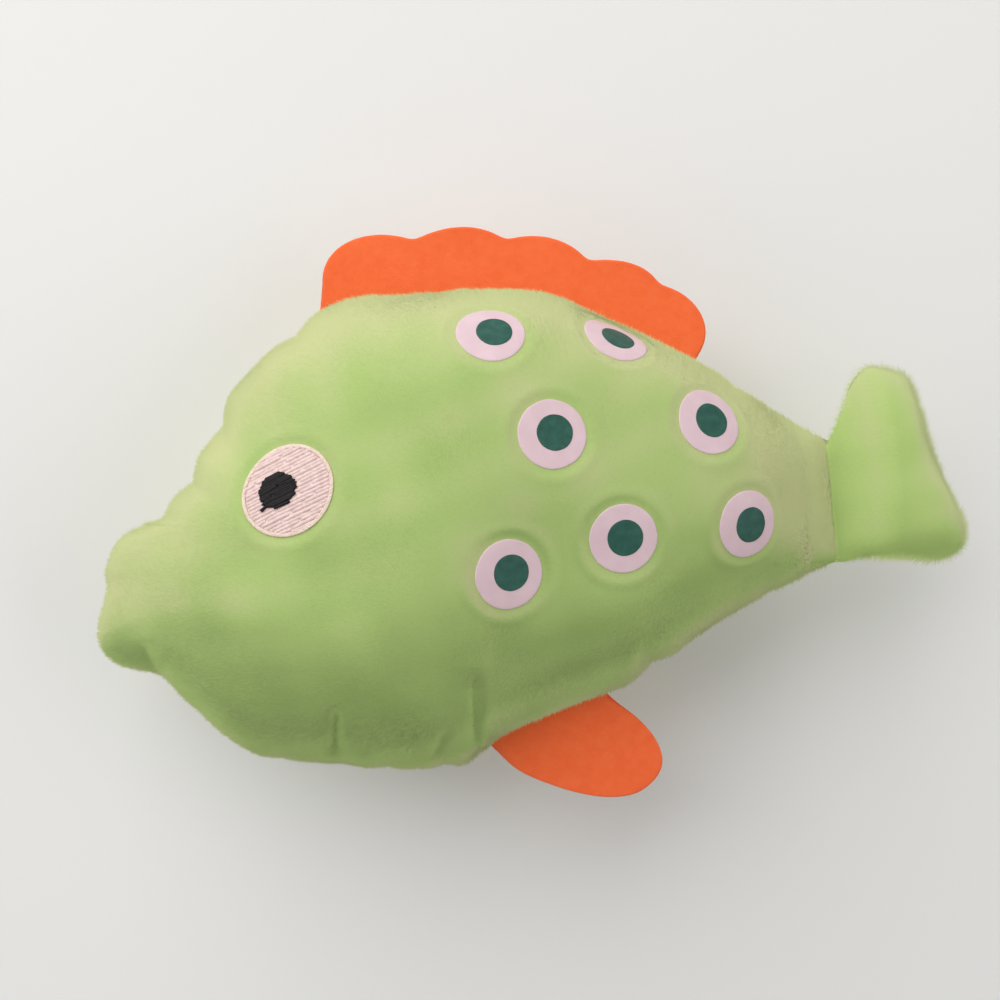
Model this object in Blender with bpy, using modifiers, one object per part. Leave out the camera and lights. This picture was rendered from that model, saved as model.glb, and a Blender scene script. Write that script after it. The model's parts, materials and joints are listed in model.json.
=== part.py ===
"""Plush fish pet toy: two stuffed side panels, a hinged stuffed tail, felt fins, spots and a squeaker.

The toy lies on its right side. +Z is up, the head points to -X and the back to +Y.
In-plane places are measured from the crown, the thickest point of the body, and heights from
the seam plane, where the two side panels are sewn together. Everything is in metres.
"""
import math

import bmesh
import bpy
import numpy as np
from mathutils import Matrix, Vector

# Body: outline of the seam from the top of the tail crease, over the back and head, along the belly
BODY_OUTLINE = [
    (0.0941, 0.0202), (0.0782, 0.0294), (0.0621, 0.0396), (0.0460, 0.0483), (0.0299, 0.0538),
    (0.0138, 0.0554), (-0.0023, 0.0545), (-0.0184, 0.0524), (-0.0322, 0.0426), (-0.0432, 0.0310),
    (-0.0506, 0.0152), (-0.0575, 0.0041), (-0.0685, -0.0025), (-0.0722, -0.0097), (-0.0718, -0.0147),
    (-0.0741, -0.0251), (-0.0695, -0.0313), (-0.0586, -0.0352), (-0.0455, -0.0469), (-0.0299, -0.0536),
    (-0.0069, -0.0554), (0.0115, -0.0529), (0.0322, -0.0435), (0.0529, -0.0322), (0.0736, -0.0186),
    (0.0874, -0.0113), (0.0966, -0.0074),
]
CROWN_HEIGHT = 0.036        # half thickness of the body at the crown
CROWN_SNOUT = 0.028         # the crown height falls to this at the snout
CROWN_REAR = 0.024          # and to this at the tail crease
SNOUT_FALL_START = -0.020
REAR_FALL_START = 0.014
BULGE = 2.5                 # how full the stuffed section is, 2 is an ellipse
PLUSH = 0.0020              # plush fabric with its pile
FIN_ROOT_DEPTH = 0.005      # felt of the fins caught inside the seam
ROOT_COVER = 0.001          # the fabric turned inwards along the seam is this much wider than that
ALLOWANCE_THICK = 0.0016
REST_CUT = 0.0005           # flat that the toy rests on

# Tail: outline from the top of the crease round the fork and back to the bottom of the crease
TAIL_OUTLINE = [
    (0.0980, 0.0281), (0.0991, 0.0334), (0.1028, 0.0370), (0.1088, 0.0366), (0.1129, 0.0334),
    (0.1164, 0.0237), (0.1208, 0.0101), (0.1256, 0.0014), (0.1247, -0.0046), (0.1187, -0.0085),
    (0.1104, -0.0071), (0.1012, -0.0069),
]
TAIL_CENTRE = (0.1100, 0.0130)
TAIL_CROWN = 0.0085         # half thickness of the tail at its fullest
TAIL_ROLL = 0.0018          # radius of the rolled edge that turns at the crease
TAIL_SWELL = 0.014          # the tail reaches its full thickness this far from the crease
TAIL_FILL_START = 0.0045    # the fill stops this far from the crease

# Felt fins
FELT = 0.0014
FOLD_RISE = 0.0008          # fold line above the highest point of the seam under the fin
DORSAL_FRONT = (-0.0228, 0.0515)
DORSAL_NOTCHES = [(-0.0223, 0.0559), (-0.0014, 0.0665), (0.0196, 0.0665), (0.0384, 0.0616),
                  (0.0547, 0.0561), (0.0644, 0.0405)]
DORSAL_LOBE_RISES = (0.0069, 0.0031, 0.0028, 0.0027, 0.0049)
BELLY_FIN = [(0.0168, -0.0504), (0.0230, -0.0559), (0.0322, -0.0596), (0.0414, -0.0616),
             (0.0488, -0.0612), (0.0536, -0.0582), (0.0557, -0.0538), (0.0545, -0.0483),
             (0.0506, -0.0430), (0.0444, -0.0382)]

# Spots and embroidered eye, repeated on both sides
SPOT_PLACES = [(0.0163, 0.0410), (0.0430, 0.0407), (0.0627, 0.0232), (0.0288, 0.0201),
               (0.0710, 0.0014), (0.0437, -0.0013), (0.0201, -0.0085)]
SPOT_RADIUS = 0.0073
SPOT_CENTRE_RADIUS = 0.0035
FILM = 0.0004
PRESSED_IN = 0.0009         # depth of the seats of the spots and the eye in the pile
EYE_PLACE = (-0.0248, 0.0088)
EYE_RADIUS = 0.0086
EYE_RIM_WIDTH = 0.0013
EYE_THICK = 0.0008
PUPIL_RADIUS = 0.0039
PUPIL_SHIFT = (-0.0022, 0.0)
PUPIL_THICK = 0.0005

# Squeaker, lying between the two wads of fill with its neck towards the tail
SQUEAKER_PLACE = (0.008, -0.002)
BULB_RADIUS = 0.016
BULB_HALF_LENGTH = 0.014
BULB_WALL = 0.0012
NECK_RADIUS = 0.0050
NECK_LENGTH = 0.006
NECK_END = BULB_HALF_LENGTH + NECK_LENGTH
PLUG_HEAD_RADIUS = 0.0050
PLUG_HEAD = 0.0012
PLUG_BORE_RADIUS = 0.0018
PLUG_DEPTH = 0.008
REED_THICK = 0.0003
REED_LENGTH = 0.006

# Clearances between neighbouring pieces
GAP = 0.0003

# Mesh fineness
OUTLINE_STEPS = 2
CREASE_STEPS = 2
ARC_STEPS = 6
RING_SHARES = (0.985, 0.93, 0.83, 0.68, 0.48, 0.24)
DISC_STEPS = 12
TURN_STEPS = 16
BALL_STEPS = 7
SHARP_ANGLE = math.radians(40)
WELD = 0.00001

# Finishes: colour and roughness
FINISHES = {
    "green plush": ((0.42, 0.55, 0.20, 1.0), 0.90),
    "orange felt": ((0.90, 0.18, 0.05, 1.0), 0.95),
    "pale film": ((0.80, 0.66, 0.66, 1.0), 0.50),
    "dark green film": ((0.03, 0.17, 0.12, 1.0), 0.50),
    "white thread": ((0.80, 0.68, 0.66, 1.0), 0.60),
    "black thread": ((0.03, 0.02, 0.02, 1.0), 0.60),
    "fibre fill": ((0.80, 0.80, 0.78, 1.0), 1.00),
    "squeaker plastic": ((0.75, 0.75, 0.72, 1.0), 0.40),
}


# Scene helpers

def clear_scene():
    """Remove every object of the open scene."""
    for old in list(bpy.data.objects):
        bpy.data.objects.remove(old, do_unlink=True)


def new_collection(name):
    """Collection linked to the scene."""
    collection = bpy.data.collections.new(name)
    bpy.context.scene.collection.children.link(collection)
    return collection


def new_material(name, colour, roughness):
    """Plain Principled material."""
    material = bpy.data.materials.new(name)
    material.use_nodes = True
    shader = material.node_tree.nodes["Principled BSDF"]
    shader.inputs["Base Color"].default_value = colour
    shader.inputs["Roughness"].default_value = roughness
    material.diffuse_color = colour
    return material


def new_empty(name, place, parent=None):
    """Empty that carries a moving body, with its origin on the joint's axis."""
    empty = bpy.data.objects.new(name, None)
    empty.location = place
    empty.parent = parent
    PARTS.objects.link(empty)
    return empty


def add_piece(name, data, finish, parent):
    """Object of the toy, drawn in toy coordinates and carried by its parent empty."""
    data.materials.append(MATERIALS[finish])
    piece = bpy.data.objects.new(name, data)
    PARTS.objects.link(piece)
    piece.parent = parent
    if parent is not TOY:
        piece.matrix_parent_inverse = Matrix.Translation(parent.location).inverted()
    return piece


def add_cutter(name, mesh):
    """Tool body that is only used to cut other pieces."""
    cutter = bpy.data.objects.new(name, mesh)
    CUTTERS.objects.link(cutter)
    cutter.parent = TOY
    cutter.hide_render = True
    cutter.display_type = "WIRE"
    return cutter


def turn_line(piece, steps):
    """Turn the piece's profile about its own Z axis into a closed round."""
    turn = piece.modifiers.new("turn", "SCREW")
    turn.steps = steps
    turn.render_steps = steps
    turn.use_merge_vertices = True
    turn.merge_threshold = WELD


def cut(piece, cutter):
    """Boolean cut that stays on the piece."""
    boolean = piece.modifiers.new("cut " + cutter.name, "BOOLEAN")
    boolean.operation = "DIFFERENCE"
    boolean.object = cutter


# Outlines

def smooth_through(points, steps):
    """Open Catmull-Rom curve through the points, with so many steps from each point to the next."""
    p = np.array(points)
    p = np.vstack([2 * p[0] - p[1], p, 2 * p[-1] - p[-2]])
    t = (np.arange(steps) / steps)[None, :, None]
    a, b, c, d = (p[i:len(p) - 3 + i, None, :] for i in range(4))
    curve = 0.5 * (2 * b + (c - a) * t + (2 * a - 5 * b + 4 * c - d) * t ** 2
                   + (3 * b - a - 3 * c + d) * t ** 3)
    return np.vstack([curve.reshape(-1, 2), p[-2]])


def side_normals(outline):
    """Unit normals of a closed anticlockwise outline, pointing outwards."""
    along = np.roll(outline, -1, axis=0) - np.roll(outline, 1, axis=0)
    along /= np.linalg.norm(along, axis=1, keepdims=True)
    return np.column_stack([along[:, 1], -along[:, 0]])


def inset(outline, distance):
    """Closed outline moved inwards along its own normals."""
    return outline - side_normals(outline) * distance


def draw_in(outline, centre, distance):
    """Closed outline moved straight towards its centre, by one distance or one for each point."""
    reach = np.linalg.norm(outline - np.array(centre), axis=1, keepdims=True)
    return outline - (outline - np.array(centre)) * distance / reach


def arc_through(start, end, rise):
    """Points of a circular arc from start up to end, bulging to the left of the chord by rise."""
    start, end = np.array(start), np.array(end)
    half = np.linalg.norm(end - start) / 2
    along = (end - start) / (2 * half)
    left = np.array([-along[1], along[0]])
    radius = (half ** 2 + rise ** 2) / (2 * rise)
    centre = (start + end) / 2 + left * (rise - radius)
    opening = math.atan2(half, radius - rise)
    angles = np.linspace(-opening, opening, ARC_STEPS, endpoint=False)[:, None]
    return centre + radius * (np.sin(angles) * along + np.cos(angles) * left)


CROWN = (0.0, 0.0)
CREASE_TOP = np.array(BODY_OUTLINE[0])
CREASE_BOTTOM = np.array(BODY_OUTLINE[-1])
CREASE_ALONG = (CREASE_TOP - CREASE_BOTTOM) / np.linalg.norm(CREASE_TOP - CREASE_BOTTOM)
CREASE_OUT = np.array([CREASE_ALONG[1], -CREASE_ALONG[0]])


def crease_points(shift):
    """Points strictly inside the crease line, from bottom to top, moved towards the tail by shift."""
    shares = (np.arange(1, CREASE_STEPS + 1) / (CREASE_STEPS + 1))[:, None]
    return CREASE_BOTTOM + (CREASE_TOP - CREASE_BOTTOM) * shares + CREASE_OUT * shift


def body_outline():
    """Seam outline of the body, anticlockwise, closed by the straight crease at the tail."""
    return np.vstack([smooth_through(BODY_OUTLINE, OUTLINE_STEPS), crease_points(0.0)])


def tail_outline():
    """Outline of the tail, anticlockwise, starting on the crease one gap behind the body."""
    top = CREASE_TOP + CREASE_OUT * GAP
    bottom = CREASE_BOTTOM + CREASE_OUT * GAP
    fork = smooth_through([tuple(top)] + TAIL_OUTLINE + [tuple(bottom)], OUTLINE_STEPS)
    return np.vstack([fork[::-1], crease_points(GAP)[::-1]])


# Stuffed forms

def body_crown(points):
    """Height of the body's ridge at points: full at the crown, lower to the snout and to the tail."""
    x = points[:, 0]
    snout = np.clip((SNOUT_FALL_START - x) / (SNOUT_FALL_START - BODY[:, 0].min()), 0, 1)
    rear = np.clip((x - REAR_FALL_START) / (BODY[:, 0].max() - REAR_FALL_START), 0, 1)
    return CROWN_HEIGHT - (CROWN_HEIGHT - CROWN_SNOUT) * snout - (CROWN_HEIGHT - CROWN_REAR) * rear


def tail_crown(points):
    """Height of the tail's ridge at points: a rolled edge at the crease, full further out."""
    share = np.clip(((points - CREASE_TOP) @ CREASE_OUT) / TAIL_SWELL, 0, 1)
    return TAIL_ROLL + (TAIL_CROWN - TAIL_ROLL) * share * share * (3 - 2 * share)


def dome_rings(outline, centre, crown, wall):
    """Rings of a stuffed half form, from near its rim up to the crown point at its centre.

    A point at share s of the way from the centre to the outline lies at crown * sqrt(1 - s ** BULGE).
    """
    centre = np.array(centre)
    rings = []
    for share in RING_SHARES:
        flat = centre + (outline - centre) * share
        height = (crown(flat) - wall) * math.sqrt(1 - share ** BULGE)
        rings.append(np.column_stack([flat, height + GAP / 2]))
    top = crown(centre[None])[0] - wall + GAP / 2
    return rings, np.append(centre, top)


def flat_ring(outline, height):
    """Ring of points at one height."""
    return np.column_stack([outline, np.full(len(outline), height)])


def loft(name, rings, low_tip, high_tip, side=1):
    """Closed form lofted through rings of points and closed by a tip point at each end.

    side is 1 for a form as it is drawn and -1 for its mirror image below the seam plane.
    """
    count = len(rings[0])
    points = np.vstack(rings + [low_tip, high_tip])
    points[:, 2] *= side
    low, high = len(points) - 2, len(points) - 1
    last = (len(rings) - 1) * count
    faces = []
    for i in range(count):
        j = (i + 1) % count
        faces.append((low, j, i))
        for ring in range(0, last, count):
            faces.append((ring + i, ring + j, ring + count + j, ring + count + i))
        faces.append((last + i, last + j, high))
    mesh = bpy.data.meshes.new(name)
    mesh.from_pydata([tuple(p) for p in points], [], [face[::side] for face in faces])
    mesh.shade_smooth()
    mesh.set_sharp_from_angle(angle=SHARP_ANGLE)
    return mesh


def cover_mesh(name, outline, centre, crown, side):
    """Outside of a sewn half form, down to its flat seam edge."""
    rings, tip = dome_rings(outline, centre, crown, 0.0)
    return loft(name, [flat_ring(outline, GAP / 2)] + rings, (*centre, GAP / 2), tip, side)


def body_inside(name, side, wall, base):
    """Inside of one half of the body: set in by the wall, and over the fabric turned in at the seam."""
    edge = inset(BODY, wall)
    seam = draw_in(edge, CROWN, FIN_ROOT_DEPTH + ROOT_COVER)
    above = ALLOWANCE_THICK + wall - PLUSH + GAP / 2
    rings, tip = dome_rings(edge, CROWN, body_crown, wall)
    return loft(name, [flat_ring(seam, base), flat_ring(seam, above), flat_ring(edge, above)] + rings,
                (*CROWN, base), tip, side)


def body_height(points):
    """Height of the body's outside above the seam plane at in-plane points."""
    angle = np.arctan2(points[:, 1], points[:, 0])
    rim_angle = np.arctan2(BODY[:, 1], BODY[:, 0])
    rim_radius = np.hypot(BODY[:, 0], BODY[:, 1])
    rim = np.interp(angle, rim_angle, rim_radius, period=2 * math.pi)
    share = np.minimum(np.hypot(points[:, 0], points[:, 1]) / rim, 1)
    return body_crown(points) * np.sqrt(1 - share ** BULGE) + GAP / 2


def surface_frame(place, side):
    """Placement on the body's outside at an in-plane place, with local Z along the outward normal."""
    x, y = place
    step = SPOT_RADIUS / 4
    z = body_height(np.array([(x, y), (x + step, y), (x - step, y), (x, y + step), (x, y - step)]))
    slope_x, slope_y = (z[1] - z[2]) / (2 * step), (z[3] - z[4]) / (2 * step)
    normal = Vector((-slope_x, -slope_y, side)).normalized()
    across = Vector((1, 0, slope_x * side)).normalized()
    frame = Matrix((across, normal.cross(across), normal)).transposed().to_4x4()
    frame.translation = (x, y, z[0] * side)
    return frame


# Body

def build_panels_and_fill():
    """Both plush side panels, hollow, with the two wads of fill inside them.

    A guide keeps the uncut outside of each panel, for the trim that is laid on it.
    """
    panels, guides = {}, {}
    pocket = build_squeaker()
    for side, word in ((1, "left"), (-1, "right")):
        cover = cover_mesh(word + "_side_panel", BODY, CROWN, body_crown, side)
        guides[side] = add_cutter(word + "_cover_guide", cover.copy())
        panel = add_piece(word + "_side_panel", cover, "green plush", TOY)
        hollow = body_inside(word + "_hollow", side, PLUSH, -PLUSH)
        cut(panel, add_cutter(word + "_hollow", hollow))
        wad = body_inside(word + "_body_fill", side, PLUSH + GAP, GAP / 2)
        cut(add_piece(word + "_body_fill", wad, "fibre fill", TOY), pocket)
        panels[side] = panel
    return panels, guides


def cut_rest_flat(panel):
    """Flat under the right side, where the soft body presses on what it lies on."""
    mesh = bpy.data.meshes.new("rest_cutter")
    form = bmesh.new()
    bmesh.ops.create_cube(form, size=1.0)
    reach = 2 * CROWN_HEIGHT
    depth = CROWN_HEIGHT
    bmesh.ops.scale(form, vec=(reach, reach, depth), verts=form.verts)
    low = -(CROWN_HEIGHT + GAP / 2 - REST_CUT) - depth / 2
    bmesh.ops.translate(form, vec=(0, 0, low), verts=form.verts)
    form.to_mesh(mesh)
    form.free()
    cut(panel, add_cutter("rest_cutter", mesh))


# Trim on the panels

def radial_line(name, radii):
    """Straight line of points out from the axis, to be turned into a disc or a ring."""
    mesh = bpy.data.meshes.new(name)
    mesh.from_pydata([(r, 0.0, 0.0) for r in radii], [(i, i + 1) for i in range(len(radii) - 1)], [])
    return mesh


def lay_on(piece, guide, frame, stand_off, thickness):
    """Turn a radial line into a sheet, drop it on the guide at a stand-off and thicken it outwards."""
    start_height = CROWN_HEIGHT / 4
    piece.matrix_basis = frame @ Matrix.Translation((0, 0, start_height))
    turn_line(piece, DISC_STEPS)
    wrap = piece.modifiers.new("lay on panel", "SHRINKWRAP")
    wrap.target = guide
    wrap.wrap_method = "PROJECT"
    wrap.use_project_z = True
    wrap.use_negative_direction = True
    wrap.use_positive_direction = False
    wrap.offset = stand_off
    skin = piece.modifiers.new("thickness", "SOLIDIFY")
    skin.thickness = thickness
    skin.offset = 1.0


def press_seat(name, panel, guide, frame, radius):
    """Round seat pressed into the pile of a panel."""
    seat = add_cutter(name, radial_line(name, (0.0, radius / 2, radius)))
    through_pile = 3 * PRESSED_IN
    lay_on(seat, guide, frame, -PRESSED_IN, through_pile)
    cut(panel, seat)


def add_trim(name, finish, guide, frame, radii, stand_off, thickness):
    """Disc or ring that follows the panel."""
    trim = add_piece(name, radial_line(name, radii), finish, TOY)
    lay_on(trim, guide, frame, stand_off, thickness)


def build_trim(panels, guides):
    """Film spots and embroidered eye on each side, in their pressed seats."""
    floor = GAP - PRESSED_IN
    for side, word in ((1, "left"), (-1, "right")):
        panel, guide = panels[side], guides[side]
        for number, place in enumerate(SPOT_PLACES, start=1):
            frame = surface_frame(place, side)
            press_seat("%s_spot_seat_%d" % (word, number), panel, guide, frame, SPOT_RADIUS + GAP)
            add_trim("%s_spot_%d" % (word, number), "pale film", guide, frame,
                     (0.0, SPOT_RADIUS / 2, SPOT_RADIUS), floor, FILM)
            add_trim("%s_spot_centre_%d" % (word, number), "dark green film", guide, frame,
                     (0.0, SPOT_CENTRE_RADIUS), floor + FILM + GAP, FILM)
        frame = surface_frame(EYE_PLACE, side)
        rim = EYE_RADIUS + GAP
        press_seat(word + "_eye_seat", panel, guide, frame, rim + EYE_RIM_WIDTH + GAP)
        add_trim(word + "_eye_white", "white thread", guide, frame,
                 (0.0, EYE_RADIUS / 2, EYE_RADIUS), floor, EYE_THICK)
        add_trim(word + "_eye_rim", "white thread", guide, frame,
                 (rim, rim + EYE_RIM_WIDTH), floor, EYE_THICK)
        pupil = frame @ Matrix.Translation((PUPIL_SHIFT[0], PUPIL_SHIFT[1], 0))
        add_trim(word + "_eye_pupil", "black thread", guide, pupil,
                 (0.0, PUPIL_RADIUS), floor + EYE_THICK + GAP, PUPIL_THICK)


# Fins

def felt_curve(name, outline, half_thick, edge_radius):
    """Flat felt shape as a filled 2D curve, with square edges or with edges rounded by edge_radius."""
    curve = bpy.data.curves.new(name, "CURVE")
    curve.dimensions = "2D"
    curve.fill_mode = "BOTH"
    spline = curve.splines.new("POLY")
    spline.points.add(len(outline) - 1)
    for point, (x, y) in zip(spline.points, outline):
        point.co = (x, y, 0.0, 1.0)
    spline.use_cyclic_u = True
    curve.extrude = half_thick - edge_radius
    curve.bevel_depth = edge_radius
    curve.bevel_resolution = 1
    curve.offset = -edge_radius
    return curve


def felt_mesh(curve):
    """Mesh of a felt curve with its caps welded to its sides."""
    holder = bpy.data.objects.new(curve.name, curve)
    CUTTERS.objects.link(holder)
    bpy.context.view_layer.update()
    mesh = bpy.data.meshes.new_from_object(holder.evaluated_get(bpy.context.evaluated_depsgraph_get()))
    name = curve.name
    bpy.data.objects.remove(holder, do_unlink=True)
    form = bmesh.new()
    form.from_mesh(mesh)
    bmesh.ops.remove_doubles(form, verts=form.verts, dist=WELD)
    bmesh.ops.recalc_face_normals(form, faces=form.faces)
    form.to_mesh(mesh)
    form.free()
    mesh.name = name
    return mesh


def seam_between(front, rear, depth):
    """Points of the seam from front to rear on one edge of the body, set in by depth."""
    inner = inset(BODY, depth)
    upper = front[1] > 0
    keep = (BODY[:, 0] > front[0]) & (BODY[:, 0] < rear[0]) & ((BODY[:, 1] > 0) == upper)
    points = inner[keep]
    return points[np.argsort(points[:, 0])]


def fold_line(edge, front, rear):
    """Outward direction of a fin, the level of its fold and the height of its edge above the root's chord.

    The fold is parallel to the chord of the root and just clears the seam's highest point.
    """
    along = (rear - front) / np.linalg.norm(rear - front)
    out = np.array([-along[1], along[0]])
    if (edge.mean(axis=0) - front) @ out < 0:
        out = -out
    seam = seam_between(front, rear, 0.0)
    level = ((seam - front) @ out).max() + FOLD_RISE + FELT / 2 + GAP
    return out, level, (edge - front) @ out


def crossing(outline, height, level, rising):
    """Point where an edge passes a level, on its way up or on its way down."""
    over = height > level
    index = int(np.argmax(over)) if rising else len(over) - int(np.argmax(over[::-1])) - 1
    other = index - 1 if rising else index + 1
    share = (level - height[other]) / (height[index] - height[other])
    return outline[other] + (outline[index] - outline[other]) * share


def build_fin(name, edge, panels):
    """Felt fin: a root strip caught in the seam and a flap that folds along a straight line.

    The flap's edge at the fold is round about the fold line, so it turns clear of the root.
    """
    front, rear = edge[0], edge[-1]
    out, level, height = fold_line(edge, front, rear)
    flap_low = level - FELT / 2
    flap = np.vstack([crossing(edge, height, flap_low, True), edge[height > flap_low],
                      crossing(edge, height, flap_low, False)])
    root_top = flap_low - GAP
    tip = int(np.argmax(height))
    root = np.vstack([edge[:tip][height[:tip] < root_top], crossing(edge, height, root_top, True),
                      crossing(edge, height, root_top, False), edge[tip:][height[tip:] < root_top],
                      seam_between(front, rear, FIN_ROOT_DEPTH)[::-1]])
    root_curve = felt_curve(name + "_root", root, FELT / 2, 0.0)
    add_piece(name + "_root", felt_mesh(root_curve), "orange felt", TOY)
    slot_curve = felt_curve(name + "_slot", root, FELT / 2 + GAP, 0.0)
    slot_curve.offset = GAP
    slot = add_cutter(name + "_slot", felt_mesh(slot_curve))
    for panel in panels.values():
        cut(panel, slot)
    hinge = new_empty(name + "_hinge", (*(front + out * level), 0.0), TOY)
    add_piece(name, felt_mesh(felt_curve(name, flap, FELT / 2, FELT / 2)), "orange felt", hinge)


def dorsal_edge():
    """Free edge of the back fin: a straight front edge, then five scallops."""
    arcs = [np.array([DORSAL_FRONT])]
    for start, end, rise in zip(DORSAL_NOTCHES, DORSAL_NOTCHES[1:], DORSAL_LOBE_RISES):
        arcs.append(arc_through(start, end, rise))
    return np.vstack(arcs + [DORSAL_NOTCHES[-1]])


def belly_edge():
    """Free edge of the belly fin, from its front root round the tip to its rear root."""
    return smooth_through(BELLY_FIN, OUTLINE_STEPS)


# Tail

def build_tail():
    """Two tail panels with a thin wad of fill, turning on the rolled edge at the crease."""
    axis = (CREASE_TOP + CREASE_BOTTOM) / 2 + CREASE_OUT * (GAP + TAIL_ROLL)
    hinge = new_empty("tail_hinge", (axis[0], axis[1], 0.0), TOY)
    outline = tail_outline()
    from_crease = (outline - CREASE_TOP) @ CREASE_OUT
    pushed = np.maximum(TAIL_FILL_START - from_crease, 0)[:, None]
    edge = draw_in(outline, TAIL_CENTRE, PLUSH + pushed)
    for side, word in ((1, "left"), (-1, "right")):
        cover = cover_mesh(word + "_tail_panel", outline, TAIL_CENTRE, tail_crown, side)
        panel = add_piece(word + "_tail_panel", cover, "green plush", hinge)
        rings, tip = dome_rings(edge, TAIL_CENTRE, tail_crown, PLUSH)
        hollow = loft(word + "_tail_hollow", [flat_ring(edge, -PLUSH)] + rings,
                      (*TAIL_CENTRE, -PLUSH), tip, side)
        cut(panel, add_cutter(word + "_tail_hollow", hollow))
    rings, tip = dome_rings(inset(edge, GAP), TAIL_CENTRE, tail_crown, PLUSH + GAP)
    mirror = np.array([1, 1, -1])
    wad = loft("tail_fill", [ring * mirror for ring in rings[::-1]] + rings, tip * mirror, tip)
    add_piece("tail_fill", wad, "fibre fill", hinge)


# Squeaker

def turned_mesh(name, profile):
    """Profile of (distance along, radius) pairs as mesh edges, with none along the axis itself."""
    mesh = bpy.data.meshes.new(name)
    count = len(profile)
    edges = [(i, (i + 1) % count) for i in range(count) if profile[i][1] + profile[(i + 1) % count][1] > 0]
    mesh.from_pydata([(radius, 0.0, along) for along, radius in profile], edges, [])
    return mesh


def turn_along_x(piece):
    """Turn a profile into a solid whose axis lies along +X through the squeaker's place."""
    piece.location = (*SQUEAKER_PLACE, 0.0)
    piece.rotation_euler = (0.0, math.pi / 2, 0.0)
    turn_line(piece, TURN_STEPS)


def bulb_profile(offset):
    """Outside of the bulb and its neck, from the neck's end to the far pole, moved out by offset."""
    length, radius = BULB_HALF_LENGTH + offset, BULB_RADIUS + offset
    neck = NECK_RADIUS + offset
    first = math.asin(neck / radius)
    angles = np.linspace(first, math.pi, BALL_STEPS)
    side = [(length * math.cos(a), radius * math.sin(a)) for a in angles[:-1]]
    return [(NECK_END, neck)] + side + [(-length, 0.0)]


def build_squeaker():
    """Blown bulb with a plug and its reed in the neck, in a pocket of the fill."""
    outside, inside = bulb_profile(0.0), bulb_profile(-BULB_WALL)
    bulb = turned_mesh("squeaker_bulb", outside + inside[::-1])
    turn_along_x(add_piece("squeaker_bulb", bulb, "squeaker plastic", TOY))
    head_low, head_top = NECK_END + GAP, NECK_END + GAP + PLUG_HEAD
    stem = NECK_RADIUS - BULB_WALL - GAP
    tip = head_low - PLUG_DEPTH
    plug = turned_mesh("squeaker_plug", [
        (head_top, PLUG_HEAD_RADIUS), (head_low, PLUG_HEAD_RADIUS), (head_low, stem), (tip, stem),
        (tip, PLUG_BORE_RADIUS), (head_top, PLUG_BORE_RADIUS)])
    turn_along_x(add_piece("squeaker_plug", plug, "squeaker plastic", TOY))
    reed = bpy.data.meshes.new("squeaker_reed")
    form = bmesh.new()
    bmesh.ops.create_cube(form, size=1.0)
    bmesh.ops.scale(form, vec=(REED_LENGTH, 2 * (PLUG_BORE_RADIUS - GAP), REED_THICK), verts=form.verts)
    form.to_mesh(reed)
    form.free()
    reed_piece = add_piece("squeaker_reed", reed, "squeaker plastic", TOY)
    reed_piece.location = (SQUEAKER_PLACE[0] + (head_top + tip) / 2, SQUEAKER_PLACE[1], 0.0)
    head_room = max(PLUG_HEAD_RADIUS, NECK_RADIUS) + GAP
    pocket = bulb_profile(GAP)
    pocket = [(head_top + GAP, 0.0), (head_top + GAP, head_room), (pocket[1][0], head_room)] + pocket[1:]
    cutter = add_cutter("squeaker_pocket", turned_mesh("squeaker_pocket", pocket))
    turn_along_x(cutter)
    return cutter


def main():
    """Build the toy."""
    panels, guides = build_panels_and_fill()
    build_trim(panels, guides)
    cut_rest_flat(panels[-1])
    build_fin("dorsal_fin", dorsal_edge(), panels)
    build_fin("belly_fin", belly_edge(), panels)
    build_tail()


BODY = body_outline()
clear_scene()
PARTS = new_collection("plush_fish")
CUTTERS = new_collection("cutters")
REACH = np.vstack([BODY, tail_outline(), dorsal_edge(), belly_edge()])
MIDDLE = (REACH.min(axis=0) + REACH.max(axis=0)) / 2
TOY = new_empty("toy", (-MIDDLE[0], -MIDDLE[1], CROWN_HEIGHT + GAP / 2 - REST_CUT))
MATERIALS = {name: new_material(name, *finish) for name, finish in FINISHES.items()}
main()
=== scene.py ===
"""Looks of the plush fish pet toy: stuffed plush body and tail, felt fins, film spots and embroidered eyes.

Sizes are millimetres in the toy's own plane: x runs from head to tail, y from belly to back, and z out of
the left side, all measured from the crown of the body on the seam plane. to_world carries them into the
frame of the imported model, in metres.
"""
import json
import math

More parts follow.
